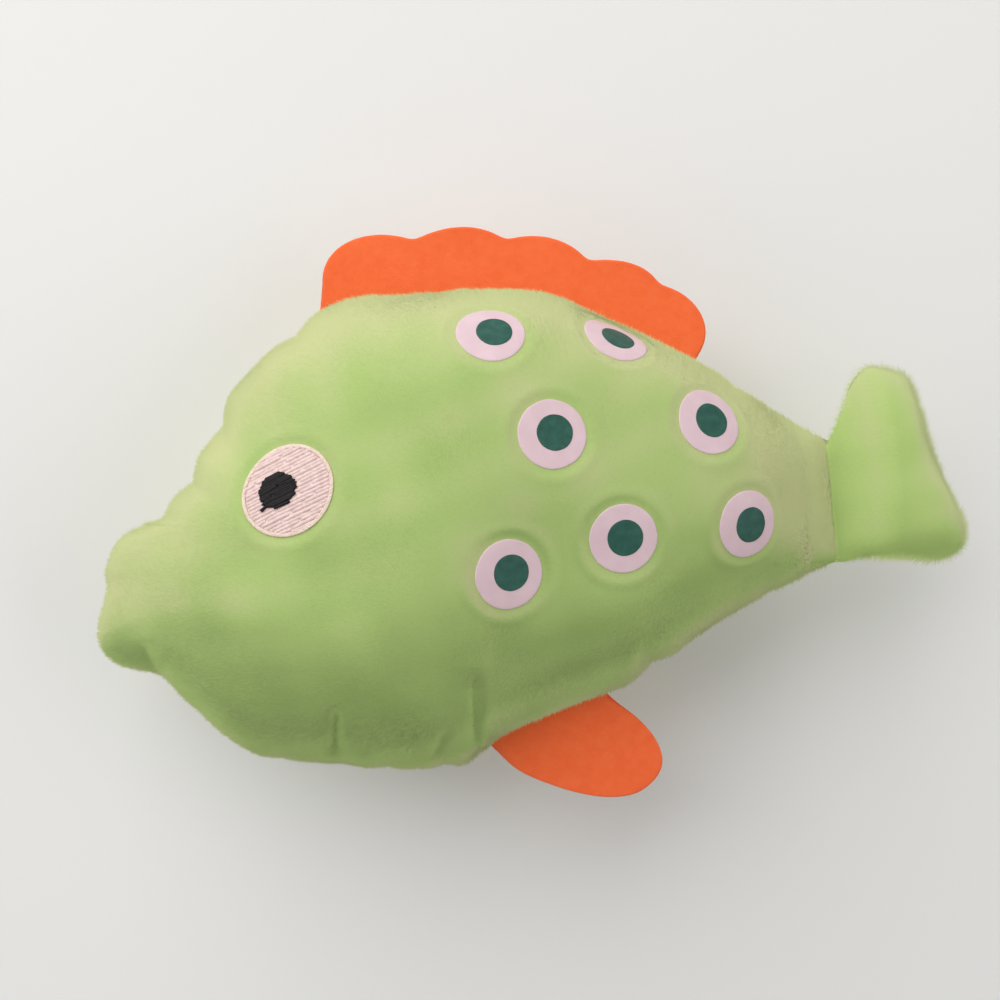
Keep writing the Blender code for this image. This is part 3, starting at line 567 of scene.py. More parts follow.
class StuffedForm:
    """Pillow over a closed outline, as a grid of rings from its left crown over the seam to its right crown.

    At ring angle f, from 0 at the left crown to half a turn at the right one, a point lies at share
    s = sin(f) ** (2 / bulge) of the way from the centre to the outline, at a height worked out from its place
    and the ring's arch |cos(f)|.
    Rings near the crown follow a softened outline, so corners of the outline don't run up the sides.
    """

    def __init__(self, line, centre, height, rings, columns, softness):
        self.centre = np.array(centre, float)
        rim = evenly(line, columns) - self.centre
        rim = np.roll(rim, -int(np.argmin(np.arctan2(rim[:, 1], rim[:, 0]))), axis=0)
        self.angle = np.arctan2(rim[:, 1], rim[:, 0])
        self.radius = np.hypot(rim[:, 0], rim[:, 1])
        even = np.arange(ANGLES) / ANGLES * 2 * math.pi - math.pi
        soft = soften(np.interp(even, self.angle, self.radius, period=2 * math.pi), softness / 360 * ANGLES)
        self.soft = np.interp(self.angle, even, soft, period=2 * math.pi)
        self.half, self.columns = rings, columns
        turn = np.linspace(0, math.pi, 2 * rings + 1)[:, None]
        share = np.sin(turn) ** (2 / BULGE)
        reach = share * self.reach(share, self.soft, self.radius)
        x = self.centre[0] + reach * np.cos(self.angle)
        y = self.centre[1] + reach * np.sin(self.angle)
        arch = np.cos(turn)
        self.place(np.stack([x, y, np.sign(arch) * height(x, y, np.abs(arch))], -1))

    @staticmethod
    def reach(share, soft, radius):
        """Radius of the ring at a share, softened near the crown."""
        return soft + (radius - soft) * share ** SOFT_POWER

    def place(self, points):
        """Take new points, with unit normals outwards from the differences between neighbouring ones."""
        self.points = points
        down = np.gradient(points, axis=0)
        across = np.roll(points, -1, axis=1) - np.roll(points, 1, axis=1)
        normal = np.cross(down, across)
        normal[0], normal[-1] = (0, 0, 1), (0, 0, -1)
        self.normal = unit(normal)

    def cell(self, x, y, side):
        """Ring and column, with fractions, of in-plane places on the left (1) or the right (-1) half."""
        x, y = x - self.centre[0], y - self.centre[1]
        turned, distance = np.arctan2(y, x), np.hypot(x, y)
        angle = np.concatenate([[self.angle[-1] - 2 * math.pi], self.angle, [self.angle[0] + 2 * math.pi]])
        column = np.interp(turned, angle, np.arange(-1, self.columns + 1))
        radius = np.interp(turned, self.angle, self.radius, period=2 * math.pi)
        soft = np.interp(turned, self.angle, self.soft, period=2 * math.pi)
        share = distance / radius
        for _ in range(CELL_STEPS):
            share = np.clip(distance / self.reach(share, soft, radius), 0, 1)
        ring = np.arcsin(share ** (BULGE / 2)) / (math.pi / 2) * self.half
        return (ring if side > 0 else 2 * self.half - ring), column % self.columns

    def sample(self, field, ring, column):
        """Values of a grid field between its points."""
        r = np.clip(np.floor(ring).astype(int), 0, 2 * self.half - 1)
        c = np.floor(column).astype(int) % self.columns
        down, over = (ring - r)[..., None], (column - np.floor(column))[..., None]
        return between(field, r, c, (c + 1) % self.columns, down, over)

    def spot(self, place, side):
        """Point and normal of the cover at an in-plane place, found by correcting a few times."""
        aim = np.array(place, float)
        for _ in range(SPOT_STEPS):
            ring, column = self.cell(aim[0], aim[1], side)
            point = self.sample(self.points, ring, column)
            aim = aim + place - point[:2]
        return point, unit(self.sample(self.normal, ring, column))

    def plane(self, place, side):
        """Middle, normal and two directions, along x and up from it, of the plane that touches the cover."""
        middle, normal = self.spot(place, side)
        right = unit(np.array([1.0, 0.0, 0.0]) - normal[0] * normal)
        return middle, normal, right, np.cross(normal, right) * side

    def lay(self, place, side, across, up):
        """Points and normals of the cover under offsets drawn on the plane that touches it at a place.

        Each point is the one straight below its offset, along the plane's normal.
        """
        middle, normal, right, top = self.plane(place, side)
        target = middle + across[..., None] * right + up[..., None] * top
        x, y = target[..., 0], target[..., 1]
        for _ in range(LAY_STEPS):
            ring, column = self.cell(x, y, side)
            off = target - self.sample(self.points, ring, column)
            off = off - (off @ normal)[..., None] * normal
            x, y = x + off[..., 0], y + off[..., 1]
        ring, column = self.cell(x, y, side)
        return self.sample(self.points, ring, column), unit(self.sample(self.normal, ring, column))


def fall(x, start, end):
    """Share from 0 at start to 1 at end, with a soft onset."""
    t = np.clip((x - start) / (end - start), 0, 1)
    return t * t * (2 - t)


def body_height(x, y, arch):
    """Height of the body's left side: round over the crown, made of sections towards the tail.

    Round the crown it is the ridge's height, lower to the snout, times the ring's arch. A section between
    belly seam and back seam is ridge * sqrt(1 - |u| ** bulge), with u from -1 to 1 across it and shifted a
    little towards the back. Its ridge falls from the crown to nothing at the tail crease.
    """
    dome = (CROWN - (CROWN - CROWN_SNOUT) * fall(x, SNOUT_FALL_START, BODY_LINE[:, 0].min())) * arch
    back, belly = (np.interp(x, line[:, 0], line[:, 1]) for line in (BACK_LINE, BELLY_LINE))
    u = np.clip((2 * y - back - belly) / (back - belly), -1, 1)
    u = u - REAR_RIDGE * (1 - u * u)
    gone = np.clip(1 + from_crease(x, y) / BODY_SEAM[0][0], 0, 1)
    ridge = CROWN * (1 - REAR_LEVEL * gone - (1 - REAR_LEVEL) * gone ** REAR_POWER)
    section = ridge * np.sqrt(1 - np.abs(u) ** BULGE)
    rear = ease((x - REAR_START) / (REAR_END - REAR_START))
    return dome + (section - dome) * rear


def from_crease(x, y):
    """Distance from the tail crease, positive on the tail's side."""
    return (x - CREASE_TOP[0]) * CREASE_OUT[0] + (y - CREASE_TOP[1]) * CREASE_OUT[1]


def tail_height(x, y, arch):
    """Height of the tail's left side: its ring's arch over a rolled edge at the crease, full further out."""
    return (TAIL_ROLL + (TAIL_CROWN - TAIL_ROLL) * ease(from_crease(x, y) / TAIL_SWELL)) * arch


def puckers(x, y):
    """Valleys that run in from gathers of the seam, each a V with soft shoulders that fades out inwards."""
    depth = np.zeros_like(x)
    for px, py, deep, width, reach in PUCKERS:
        inward = unit(np.array([PUCKER_AIM * px - px, -py]))
        far = (x - px) * inward[0] + (y - py) * inward[1]
        off = (x - px) * inward[1] - (y - py) * inward[0]
        fade = np.clip(1 - np.abs(far) / reach, 0, 1) ** PUCKER_FADE
        valley = np.exp(-np.sqrt(off ** 2 + PUCKER_ROUND) / width)
        beside = (np.abs(off) - SHOULDER_PLACE * width) / (SHOULDER_WIDTH * width)
        shoulder = SHOULDER_HEIGHT * np.exp(-beside ** 2)
        depth += deep * fade * (shoulder - valley)
    return depth


def gathers(x, y):
    """Depth of narrow folds, each a V along a straight line that fades out at both ends."""
    depth = np.zeros_like(x)
    for start, end, deep, width in GATHERS:
        way = np.subtract(end, start)
        far = ((x - start[0]) * way[0] + (y - start[1]) * way[1]) / (way @ way)
        off = ((x - start[0]) * way[1] - (y - start[1]) * way[0]) / np.linalg.norm(way)
        fade = ease(far / GATHER_FADE) * ease((1 - far) / GATHER_FADE)
        depth += deep * fade * np.exp(-np.sqrt(off ** 2 + GATHER_ROUND) / width)
    return depth


def dents(x, y):
    """Soft round dents, each a bell curve."""
    return sum(-deep * np.exp(-((x - px) ** 2 + (y - py) ** 2) / wide ** 2) for px, py, deep, wide in DENTS)


def settle(z):
    """Heights pressed softly flat where the toy lies on the floor."""
    over = (z - FLOOR) / PRESS
    return FLOOR + PRESS * np.where(over > PRESS_CLEAR, over, np.log1p(np.exp(np.minimum(over, PRESS_CLEAR))))


def off_trim(form, points):
    """Distance of points from the nearest edge of the spots and eyes, negative on them."""
    gaps = [np.linalg.norm(points - form.spot(place, side)[0], axis=-1) - SPOT_RADIUS
            for place in SPOTS for side in SIDES.values()]
    for side in SIDES.values():
        middle, _, right, top = form.plane(EYE, side)
        off = points - middle
        reach = eye_reach(np.arctan2(off @ top, off @ right)) + RIM_WIDTH
        gaps.append(np.linalg.norm(off, axis=-1) - reach)
    return np.min(gaps, axis=0)


def eye_reach(turn):
    """Radius of the eye's oval field in a direction."""
    return 1 / np.hypot(np.cos(turn - EYE_TURN) / EYE_LONG, np.sin(turn - EYE_TURN) / EYE_WIDE)


def build_body():
    """Body cover: the stuffed form drawn in under the pile, with seam, folds, dents and seats of the trim."""
    form = StuffedForm(BODY_LINE, (0.0, 0.0), body_height, BODY_RINGS, BODY_COLUMNS, BODY_SOFTNESS)
    x, y, z = np.moveaxis(form.points, -1, 0)
    seam = SEAM_DEPTH * np.exp(-(z / SEAM_WIDTH) ** 2)
    fold = FOLD_DEPTH * np.exp(-((from_crease(x, y) + FOLD_PLACE) / FOLD_WIDTH) ** 2)
    fold = fold * ease(np.abs(z) / FOLD_RISE)
    fill = np.where(z > 0, waves(x, y, *LEFT_LUMPS), waves(x, y, *RIGHT_LUMPS))
    fill = LUMP_HEIGHT * fill * ease(np.abs(z) / LUMP_RISE)
    inset = PILE_INSET * np.clip(-from_crease(x, y) / CREASE_FADE, 0, 1)
    lift = puckers(x, y) - gathers(x, y) + dents(x, y) + fill - seam - fold - inset
    form.place(form.points + lift[..., None] * form.normal)
    gap = off_trim(form, form.points)
    ridge = RIDGE_HEIGHT * np.exp(-((gap - RIDGE_PLACE) / RIDGE_WIDTH) ** 2)
    seats = ridge - SEAT_DEPTH * ease(1 - gap / SEAT_RAMP)
    points = form.points + seats[..., None] * form.normal
    points[..., 2] = settle(points[..., 2])
    form.place(points)
    return form


def build_tail():
    """Tail cover: a flat stuffed form that starts with a rolled edge at the crease."""
    tucked_top = CREASE_TOP - TAIL_TUCK * (CREASE_OUT + CREASE_ALONG)
    tucked_foot = CREASE_FOOT - TAIL_TUCK * (CREASE_OUT - CREASE_ALONG)
    line = through([tucked_top, CREASE_TOP, *TAIL_SEAM, CREASE_FOOT, tucked_foot], CURVE_STEPS)
    form = StuffedForm(line[::-1], TAIL_CENTRE, tail_height, TAIL_RINGS, TAIL_COLUMNS, TAIL_SOFTNESS)
    x, y, z = np.moveaxis(form.points, -1, 0)
    seam = SEAM_DEPTH * np.exp(-(z / SEAM_WIDTH) ** 2)
    inset = (seam + TAIL_INSET) * np.clip(from_crease(x, y) / CREASE_FADE, 0, 1)
    form.place(form.points - inset[..., None] * form.normal)
    return form


# Trim of the sides

def build_disc(name, place, side, reach, base, height, material, slot):
    """Disc laid on the body cover: a profile from the top's middle round its edge to below, turned once.

    reach gives its radius in a direction.
    """
    share, rise = np.array(DISC_PROFILE).T
    level = np.where(rise > 0, base + rise * height, base - rise * FILM_UNDERSIDE)
    turn = np.arange(DISC_COLUMNS) / DISC_COLUMNS * 2 * math.pi
    key = abs(hash_of(place)) + side
    cut = reach(turn)
    cut = cut + CUT_WOBBLE * waves(cut * np.cos(turn), cut * np.sin(turn), key, *CUT_WAVES)
    out = share[:, None] * cut
    points, normal = BODY.lay(place, side, out * np.cos(turn), out * np.sin(turn))
    points = points + level[:, None, None] * normal
    piece = new_piece(name, *closed_grids(points[None]), material, slot)
    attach(piece, "body")
    return piece


def round_reach(radius):
    """Function that gives the radius of a round disc in any direction."""
    def reach(turn):
        return np.full_like(turn, radius)
    return reach


def hash_of(place):
    """Whole number that differs from place to place."""
    return int(round(place[0] * KEY_STEPS[0] + place[1] * KEY_STEPS[1]))


def build_threads(name, place, side, starts, ends, radius, height, material, slot):
    """Embroidery threads laid on the body cover as closed tubes.

    Each runs straight from start to end on the plane that touches the cover at the place. It lies height
    above the cover and dips into it at both ends. Its section is an oval of two plies, which wind round each
    other: radius * (1 + ply * cos(2 * (angle - turns along))).
    """
    t = np.linspace(0, 1, THREAD_STEPS)
    line = starts[:, None] + (ends - starts)[:, None] * t[:, None]
    points, normal = BODY.lay(place, side, line[..., 0], line[..., 1])
    body = np.sqrt(np.maximum(1 - np.abs(2 * t - 1) ** THREAD_BLUNT, 0))
    ahead = unit(np.gradient(points, axis=1))
    sideways = np.cross(ahead, normal)
    around = np.arange(THREAD_SIDES) / THREAD_SIDES * 2 * math.pi
    far = np.linalg.norm(ends - starts, axis=1)[:, None, None] * t[:, None]
    ply = 1 + PLY * np.cos(2 * (around - far / PLY_TURN * 2 * math.pi))
    section = (radius * body[:, None] * ply)[..., None]
    level = height + np.random.default_rng(SEED).normal(0, STITCH_LEVEL, (len(starts), 1))
    centre = points + (level - THREAD_DIP * (1 - body))[..., None] * normal
    tube = (centre[:, :, None] + section * (np.cos(around)[:, None] * sideways[:, :, None]
                                            + THREAD_FLAT * np.sin(around)[:, None] * normal[:, :, None]))
    piece = new_piece(name, *closed_grids(tube), material, slot)
    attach(piece, "body")
    return piece


def stitch_rows(reach, pitch, length, ragged, draw):
    """Starts and ends of stitches that fill a form in slanting rows, staggered from row to row.

    reach gives the form's radius in a direction. A row ends where the form does, give or take ragged.
    """
    turn = np.linspace(0, 2 * math.pi, REACH_STEPS)
    far, off = reach(turn) * np.cos(turn - STITCH_ANGLE), reach(turn) * np.sin(turn - STITCH_ANGLE)
    along_row = np.array([math.cos(STITCH_ANGLE), math.sin(STITCH_ANGLE)])
    off_row = np.array([-along_row[1], along_row[0]])
    starts, ends = [], []
    for row, offset in enumerate(np.arange(off.min() + pitch / 2, off.max(), pitch)):
        inside = far[np.abs(off - offset) < pitch / 4]
        first, last = draw.uniform(-ragged, ragged, 2) + (inside.min(), inside.max())
        stops = np.arange(first + length * ((row * ROW_STAGGER) % 1), last, length)
        stops = stops + draw.uniform(-STOP_STRAY, STOP_STRAY)
        least = length * LEAST_STITCH
        stops = stops[(stops > first + least) & (stops < last - least)]
        stops = np.concatenate([[first], stops, [last]])
        level = offset + draw.normal(0, ROW_WANDER, len(stops))
        stitch = stops[:, None] * along_row + level[:, None] * off_row
        starts.append(stitch[:-1])
        ends.append(stitch[1:])
    return np.vstack(starts), np.vstack(ends)


def pupil_reach(turn):
    """Radius of the pupil in a direction: an oval along the stitches."""
    return 1 / np.hypot(np.cos(turn - STITCH_ANGLE) / PUPIL_LONG, np.sin(turn - STITCH_ANGLE) / PUPIL_WIDE)


def build_eye(word, side):
    """Embroidered eye: rows of white stitches, a satin rim of short slanting ones, and a black pupil."""
    draw = np.random.default_rng(SEED)
    build_disc(word + "_eye_backing", EYE, side, eye_reach, 0.0, BACKING_HEIGHT, WHITE_THREAD, "white_thread")
    rows = stitch_rows(eye_reach, ROW_PITCH, STITCH_LENGTH, FIELD_RAGGED, draw)
    white = build_threads(word + "_eye_field", EYE, side, *rows, STITCH_RADIUS, FIELD_LEVEL,
                          WHITE_THREAD, "white_thread")
    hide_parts(word + "_eye_white")
    turn = np.arange(RIM_STITCHES) / RIM_STITCHES * 2 * math.pi
    inside = np.column_stack([np.cos(turn), np.sin(turn)])
    inside = (eye_reach(turn) - RIM_WIDTH * RIM_OVERLAP)[:, None] * inside
    turn = turn + RIM_SLANT
    outside = (eye_reach(turn) + RIM_WIDTH)[:, None] * np.column_stack([np.cos(turn), np.sin(turn)])
    rim = build_threads(word + "_eye_satin_rim", EYE, side, inside, outside, RIM_RADIUS, RIM_LEVEL,
                        CREAM_THREAD, "white_thread")
    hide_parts(word + "_eye_rim")
    starts, ends = stitch_rows(pupil_reach, PUPIL_PITCH, PUPIL_STITCH, PUPIL_RAGGED, draw)
    starts = np.vstack([starts, LOOSE_END[0]]) + PUPIL_SHIFT
    ends = np.vstack([ends, LOOSE_END[1]]) + PUPIL_SHIFT
    pupil = build_threads(word + "_eye_pupil_threads", EYE, side, starts, ends, PUPIL_THREAD, PUPIL_LEVEL,
                          BLACK_THREAD, "black_thread")
    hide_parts(word + "_eye_pupil")


def build_spots(word, side):
    """Seven pressed-on film spots, each with its dark middle disc."""
    for number, (place, shift) in enumerate(zip(SPOTS, CENTRE_SHIFTS), 1):
        film = build_disc(f"{word}_spot_film_{number}", place, side, round_reach(SPOT_RADIUS), 0.0,
                          SPOT_HEIGHT, PALE_FILM, "pale_film")
        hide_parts(f"{word}_spot_{number}")
        middle = BODY.lay(place, side, np.array(shift[:1]), np.array(shift[1:]))[0][0, :2]
        centre = build_disc(f"{word}_spot_dark_film_{number}", tuple(middle), side,
                            round_reach(CENTRE_RADIUS), SPOT_HEIGHT, CENTRE_HEIGHT, GREEN_FILM, "green_film")
        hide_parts(f"{word}_spot_centre_{number}")


# Felt fins

def seam_under(front, rear):
    """Stretch of the body seam from the front to the rear of a fin, moved inwards to the felt's root."""
    upper = front[1] > 0
    line = BODY_LINE[::-1] if upper else BODY_LINE
    keep = (line[:, 0] > front[0]) & (line[:, 0] < rear[0]) & ((line[:, 1] > 0) == upper)
    stretch = line[keep]
    ahead = unit(np.gradient(stretch, axis=0))
    inward = np.column_stack([ahead[:, 1], -ahead[:, 0]]) * (1 if upper else -1)
    return stretch + FIN_ROOT_DEPTH * inward


def felt_grid(root, edge):
    """Flat grid between the root line and the free edge, closest together near the edges of the felt."""
    u = (1 - np.cos(np.linspace(0, math.pi, FIN_COLUMNS))) / 2
    v = np.sin(np.linspace(0, math.pi / 2, FIN_ROWS))[:, None, None]
    return along(root, u) * (1 - v) + along(edge, u) * v


def build_fin(name, root, edge, joint, replaced):
    """Felt fin of even thickness with a round edge, from its root in the seam to its free edge.

    Half its thickness t at distance d from the outline is t * sqrt(1 - (1 - min(d / t, 1)) ** 2). It waves
    gently towards the free edge.
    """
    flat = felt_grid(root, edge)
    rows, columns, _ = flat.shape
    outline = np.vstack([flat[0], flat[1:, -1], flat[-1, -2::-1], flat[-2:0:-1, 0]])
    gap = np.linalg.norm(flat[:, :, None] - outline, axis=-1).min(axis=2)
    half = FELT / 2 * np.sqrt(1 - (1 - np.minimum(gap / (FELT / 2), 1)) ** 2)
    reach = np.linspace(0, 1, rows)[:, None] ** 2
    bend = FIN_WAVE * reach * waves(flat[..., 0], flat[..., 1], *FIN_WAVES)
    top = np.concatenate([flat, (bend + half)[..., None]], -1).reshape(-1, 3)
    foot = np.concatenate([flat, (bend - half)[..., None]], -1).reshape(-1, 3)
    number = np.arange(rows * columns).reshape(rows, columns)
    inside = np.zeros((rows, columns), bool)
    inside[1:-1, 1:-1] = True
    under = np.where(inside, np.cumsum(inside).reshape(rows, columns) - 1 + rows * columns, number)
    quads = grid_faces(rows, columns, wrap=False)
    points = np.vstack([top, foot[inside.ravel()]])
    faces = np.vstack([quads, under.ravel()[quads][:, ::-1]])
    piece = new_piece(name, points, [faces], ORANGE_FELT, "orange_felt")
    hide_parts(*replaced)
    fuzz = felt_fuzz(name + "_fuzz", top.reshape(rows, columns, 3), foot.reshape(rows, columns, 3))
    for part in (piece, fuzz):
        bend_at(part, joint, edge.mean(axis=0))


def build_back_fin():
    """Back fin: its free edge is five arcs between notches, and its root follows the back seam."""
    lobes = [arc(*lobe, LOBE_STEPS)
             for lobe in zip(DORSAL_NOTCHES, DORSAL_NOTCHES[1:], DORSAL_RISES, DORSAL_LEANS)]
    edge = along(np.vstack([*lobes, DORSAL_NOTCHES[-1:]]), np.linspace(0, 1, FIN_COLUMNS))
    front = np.array(DORSAL_FRONT)
    inner_front = front + FIN_ROOT_DEPTH * unit(front - DORSAL_NOTCHES[0])
    root = np.vstack([inner_front, seam_under(front, DORSAL_NOTCHES[-1])[ROOT_SKIP:]])
    build_fin("back_fin_felt", root, round_off(edge, NOTCH_PASSES), "back_fin_fold",
              ("dorsal_fin_root", "dorsal_fin"))


def build_belly_fin():
    """Belly fin: a leaf whose free edge runs through its points, with its root along the belly seam."""
    root = seam_under(BELLY_FIN[0], BELLY_FIN[-1])
    build_fin("belly_fin_felt", root, through(BELLY_FIN, CURVE_STEPS), "belly_fin_fold",
              ("belly_fin_root", "belly_fin"))


def bend_at(piece, joint, beyond):
    """Work out a joint's pivot and which side of it a point beyond lies, and bake the piece's transform; the
    piece isn't bent.
    """
    hinge = JOINTS[joint]
    pivot = (np.array(hinge["pos_m"]) - ORIGIN) / MILLIMETRE
    out = np.array([-hinge["axis"][1], hinge["axis"][0]])
    if (beyond - pivot[:2]) @ out < 0:
        out = -out
    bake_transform(piece)


# Pile

def cell_areas(points, wrap):
    """Areas of the cells of a grid."""
    over = (np.roll(points, -1, axis=1) - points) if wrap else np.diff(points, axis=1)
    down = np.diff(points, axis=0)[:, :over.shape[1]]
    return np.linalg.norm(np.cross(down, (over[:-1] + over[1:]) / 2), axis=2)


def scatter(areas, density, draw):
    """Row and column, with fractions, of places spread evenly over a grid with these cell areas."""
    total = np.cumsum(areas.ravel())
    count = int(density * total[-1])
    cell = np.searchsorted(total, draw.uniform(0, total[-1], count))
    within = draw.uniform(0, 1, (2, count))
    return cell // areas.shape[1] + within[0], cell % areas.shape[1] + within[1]


def edgewise(normals):
    """How far a cover is edge-on, 0 to 1, times 1 where its pile turns up and -1 where it turns down."""
    level = normals[..., 2:]
    return np.clip(1 - np.abs(level) / EDGE_SPAN, 0, 1) * upward(normals)


def upward(normals):
    """1 where the pile turns up, on the left side and over the seam, passing to -1 on the right side."""
    return np.clip((normals[..., 2:] + EDGE_UNDER) / EDGE_TURN, -1, 1)


def fanned(normals, fan):
    """Normals that plush is shaded by: they fan out by a share, and turn up where the cover is edge-on."""
    return unit(normals * (fan, fan, 1.0) + EDGE_LIGHT * edgewise(normals) * UP)


def pile_piece(name, roots, normals, tips, width, shade, material, slot, fan=BODY_FAN):
    """Pile as closed three-sided spikes from roots to tips, mapped by shade across and root to tip upwards.

    Each spike turns a flat side outwards. Light passes between such fine fibres, so they throw no shadow of
    their own and are left out of bounced light.
    """
    count = len(roots)
    axis = unit(tips - roots)
    facing = normals + FLAT_SIDE + (upward(normals) - 1) * FLAT_SIDE * UP
    under = unit((axis * facing).sum(axis=1, keepdims=True) * axis - facing)
    aside = np.cross(axis, under)
    turn = np.arange(3) * 2 * math.pi / 3
    spread = FIBRE_FLAT * np.cos(turn)[:, None] * under[:, None] + np.sin(turn)[:, None] * aside[:, None]
    base = roots[:, None] - ROOT_SINK * normals[:, None] + width / 2 * spread
    points = np.concatenate([base, tips[:, None]], 1).reshape(-1, 3)
    sides = np.array([(0, 1, 3), (1, 2, 3), (2, 0, 3), (2, 1, 0)])
    faces = (sides + 4 * np.arange(count)[:, None, None]).reshape(-1, 3)
    piece = new_piece(name, points, [faces], material, slot)
    mesh = piece.data
    across = np.clip(shade, MAP_MARGIN, 1 - MAP_MARGIN)[:, None] + np.array([-MAP_HALF, 0.0, MAP_HALF, 0.0])
    up = np.broadcast_to([MAP_FOOT, 0.0, MAP_FOOT, 1.0], across.shape)
    corners = np.empty(len(mesh.loops), np.int32)
    mesh.loops.foreach_get("vertex_index", corners)
    spots = np.stack([across, up], -1).reshape(-1, 2)[corners]
    mesh.uv_layers.new(name=MAP_NAME).uv.foreach_set("vector", spots.astype(np.float32).ravel())
    lean = unit(fanned(normals, fan)[:, None] + PILE_SHADING * np.concatenate([spread, axis[:, None]], 1))
    mesh.normals_split_custom_set_from_vertices(lean.reshape(-1, 3))
    piece.visible_shadow = False
    piece.visible_diffuse = False
    return piece


def combed(form, ring, column, length, draw):
    """Roots, normals and tips of fibres combed along the nap, which wanders slowly and from fibre to fibre.

    Where the cover faces along the nap the fibres stand up, and they are shorter there and on the underside.
    Along the seam they are brushed up, longer and stray more.
    """
    root = form.sample(form.points, ring, column)
    normal = unit(form.sample(form.normal, ring, column))
    nap = np.array(NAP) - (normal @ NAP)[:, None] * normal
    calm = np.clip(np.linalg.norm(nap, axis=1) / NAP_CALM, 0, 1)
    nap = unit(nap)
    aside = np.cross(normal, nap)
    x, y = root[:, 0], root[:, 1]
    heading = NAP_WANDER * waves(x, y, *NAP_WAVES) + draw.normal(0, NAP_STRAY, len(root))
    lean = np.radians(draw.uniform(*PILE_LEAN, len(root)) + LEAN_WANDER * waves(x, y, *LEAN_WAVES))
    lean = lean * calm
    flat = np.cos(heading)[:, None] * nap + np.sin(heading)[:, None] * aside
    grown = length * (STANDING_LENGTH + CALM_LENGTH * calm) * draw.uniform(*LENGTH_SPREAD, len(root))
    off_under = np.clip(1 + (normal[:, 2:] + UNDER_START) / UNDER_SPAN, 0, 1)
    grown = grown[:, None] * (UNDER_LEAST + (1 - UNDER_LEAST) * off_under)
    edge = edgewise(normal)
    stray = EDGE_RISE * edge * UP + EDGE_STRAY * edge * draw.normal(0, 1, root.shape)
    brushed = np.cos(lean)[:, None] * normal + np.sin(lean)[:, None] * flat + stray
    tip = root + grown * (1 + EDGE_LONGER * np.abs(edge)) * unit(brushed)
    tip[:, 2] = np.maximum(tip[:, 2], FLOOR + FLOOR_CLEAR)
    return root, normal, tip


def plush_patches_and_painted_light(points, normals):
    """Shade of the plush from 0 to 1, for the cover and its pile alike.

    Brushing leaves slow patches. Painted sheen makes the pile lighter where the cover curves away, and
    painted light more so where it faces the tail. Painted shade makes it darker towards the belly, in the
    gathers, and beside the tail crease, most at the crease's foot.
    """
    x, y, z = np.moveaxis(points, -1, 0)
    patches = PATCH_SHADE * waves(x, y + PATCH_TILT * z, *PATCH_WAVES)
    # painted sheen where the cover curves away, painted light where it faces the tail
    painted_sheen_and_light = CURVE_PAINTED_SHEEN * (1 - np.abs(normals[..., 2])) + REAR_PAINTED_LIGHT * np.clip(normals[..., 0], 0, None)
    beyond = from_crease(x, y)
    painted_sheen_and_light = painted_sheen_and_light * np.where(beyond > 0, ease(beyond / TAIL_CLEAR), 1.0)
    # painted shade towards the belly
    belly = np.clip(-BELLY_PAINTED_SHADE * (normals[..., 1] + BELLY_TURN), 0, BELLY_MOST)
    # painted shade beside the tail crease
    down = ((CREASE_TOP[0] - x) * CREASE_ALONG[0] + (CREASE_TOP[1] - y) * CREASE_ALONG[1])
    down = np.clip(down / np.linalg.norm(CREASE_TOP - CREASE_FOOT), 0, 1)
    crease = CREASE_PAINTED_SHADE * (CREASE_LEAST + (1 - CREASE_LEAST) * down) * np.exp(-np.abs(beyond) / CREASE_SOFT)
    # slow patches, less painted shade in the gathers
    return MIDDLE_SHADE + patches + painted_sheen_and_light - belly - GATHER_PAINTED_SHADE * gathers(x, y) - crease


def shade_cover(piece, form, fan):
    """Give a cover its shade as an attribute of its points, and normals that fan out as its pile's do."""
    # slow patches with painted sheen, painted light and painted shade
    shade = plush_patches_and_painted_light(form.points, form.normal)
    values = closed_grids(np.repeat(shade[None, ..., None], 3, -1))[0][:, 0]
    attribute = piece.data.attributes.new(SHADE_NAME, "FLOAT", "POINT")
    attribute.data.foreach_set("value", values.astype(np.float32))
    piece.data.normals_split_custom_set_from_vertices(fanned(closed_grids(form.normal[None])[0], fan))


def body_pile():
    """Short plush pile of the body, in four stretches a side, shorter beside the trim and none under it."""
    density, length, width = BODY_PILE
    draw = np.random.default_rng(SEED)
    ring, column = scatter(cell_areas(BODY.points, True), density, draw)
    root = BODY.sample(BODY.points, ring, column)
    gap = off_trim(BODY, root)
    off_floor = root[:, 2] > FLOOR + FLOOR_BARE
    keep = (gap > TRIM_CLEAR) & (from_crease(root[:, 0], root[:, 1]) < CREASE_OVERLAP) & off_floor
    ring, column, gap = ring[keep], column[keep], gap[keep]
    length = length * np.clip(TRIM_SHORT + TRIM_GROWTH * gap, 0, 1)
    root, normal, tip = combed(BODY, ring, column, length, draw)
    # patches with painted sheen, light and shade, plus a random tone per fibre
    shade = plush_patches_and_painted_light(root, normal) + draw.normal(0, FIBRE_SHADE, len(root))
    for word, side in SIDES.items():
        for stretch, (start, end) in PILE_STRETCHES.items():
            part = (normal[:, 2] * side > 0) & (root[:, 0] > start) & (root[:, 0] <= end)
            piece = pile_piece(f"{word}_{stretch}_pile", root[part], normal[part], tip[part], width,
                               shade[part], BODY_PLUSH_PILE, "green_plush")
            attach(piece, "body")


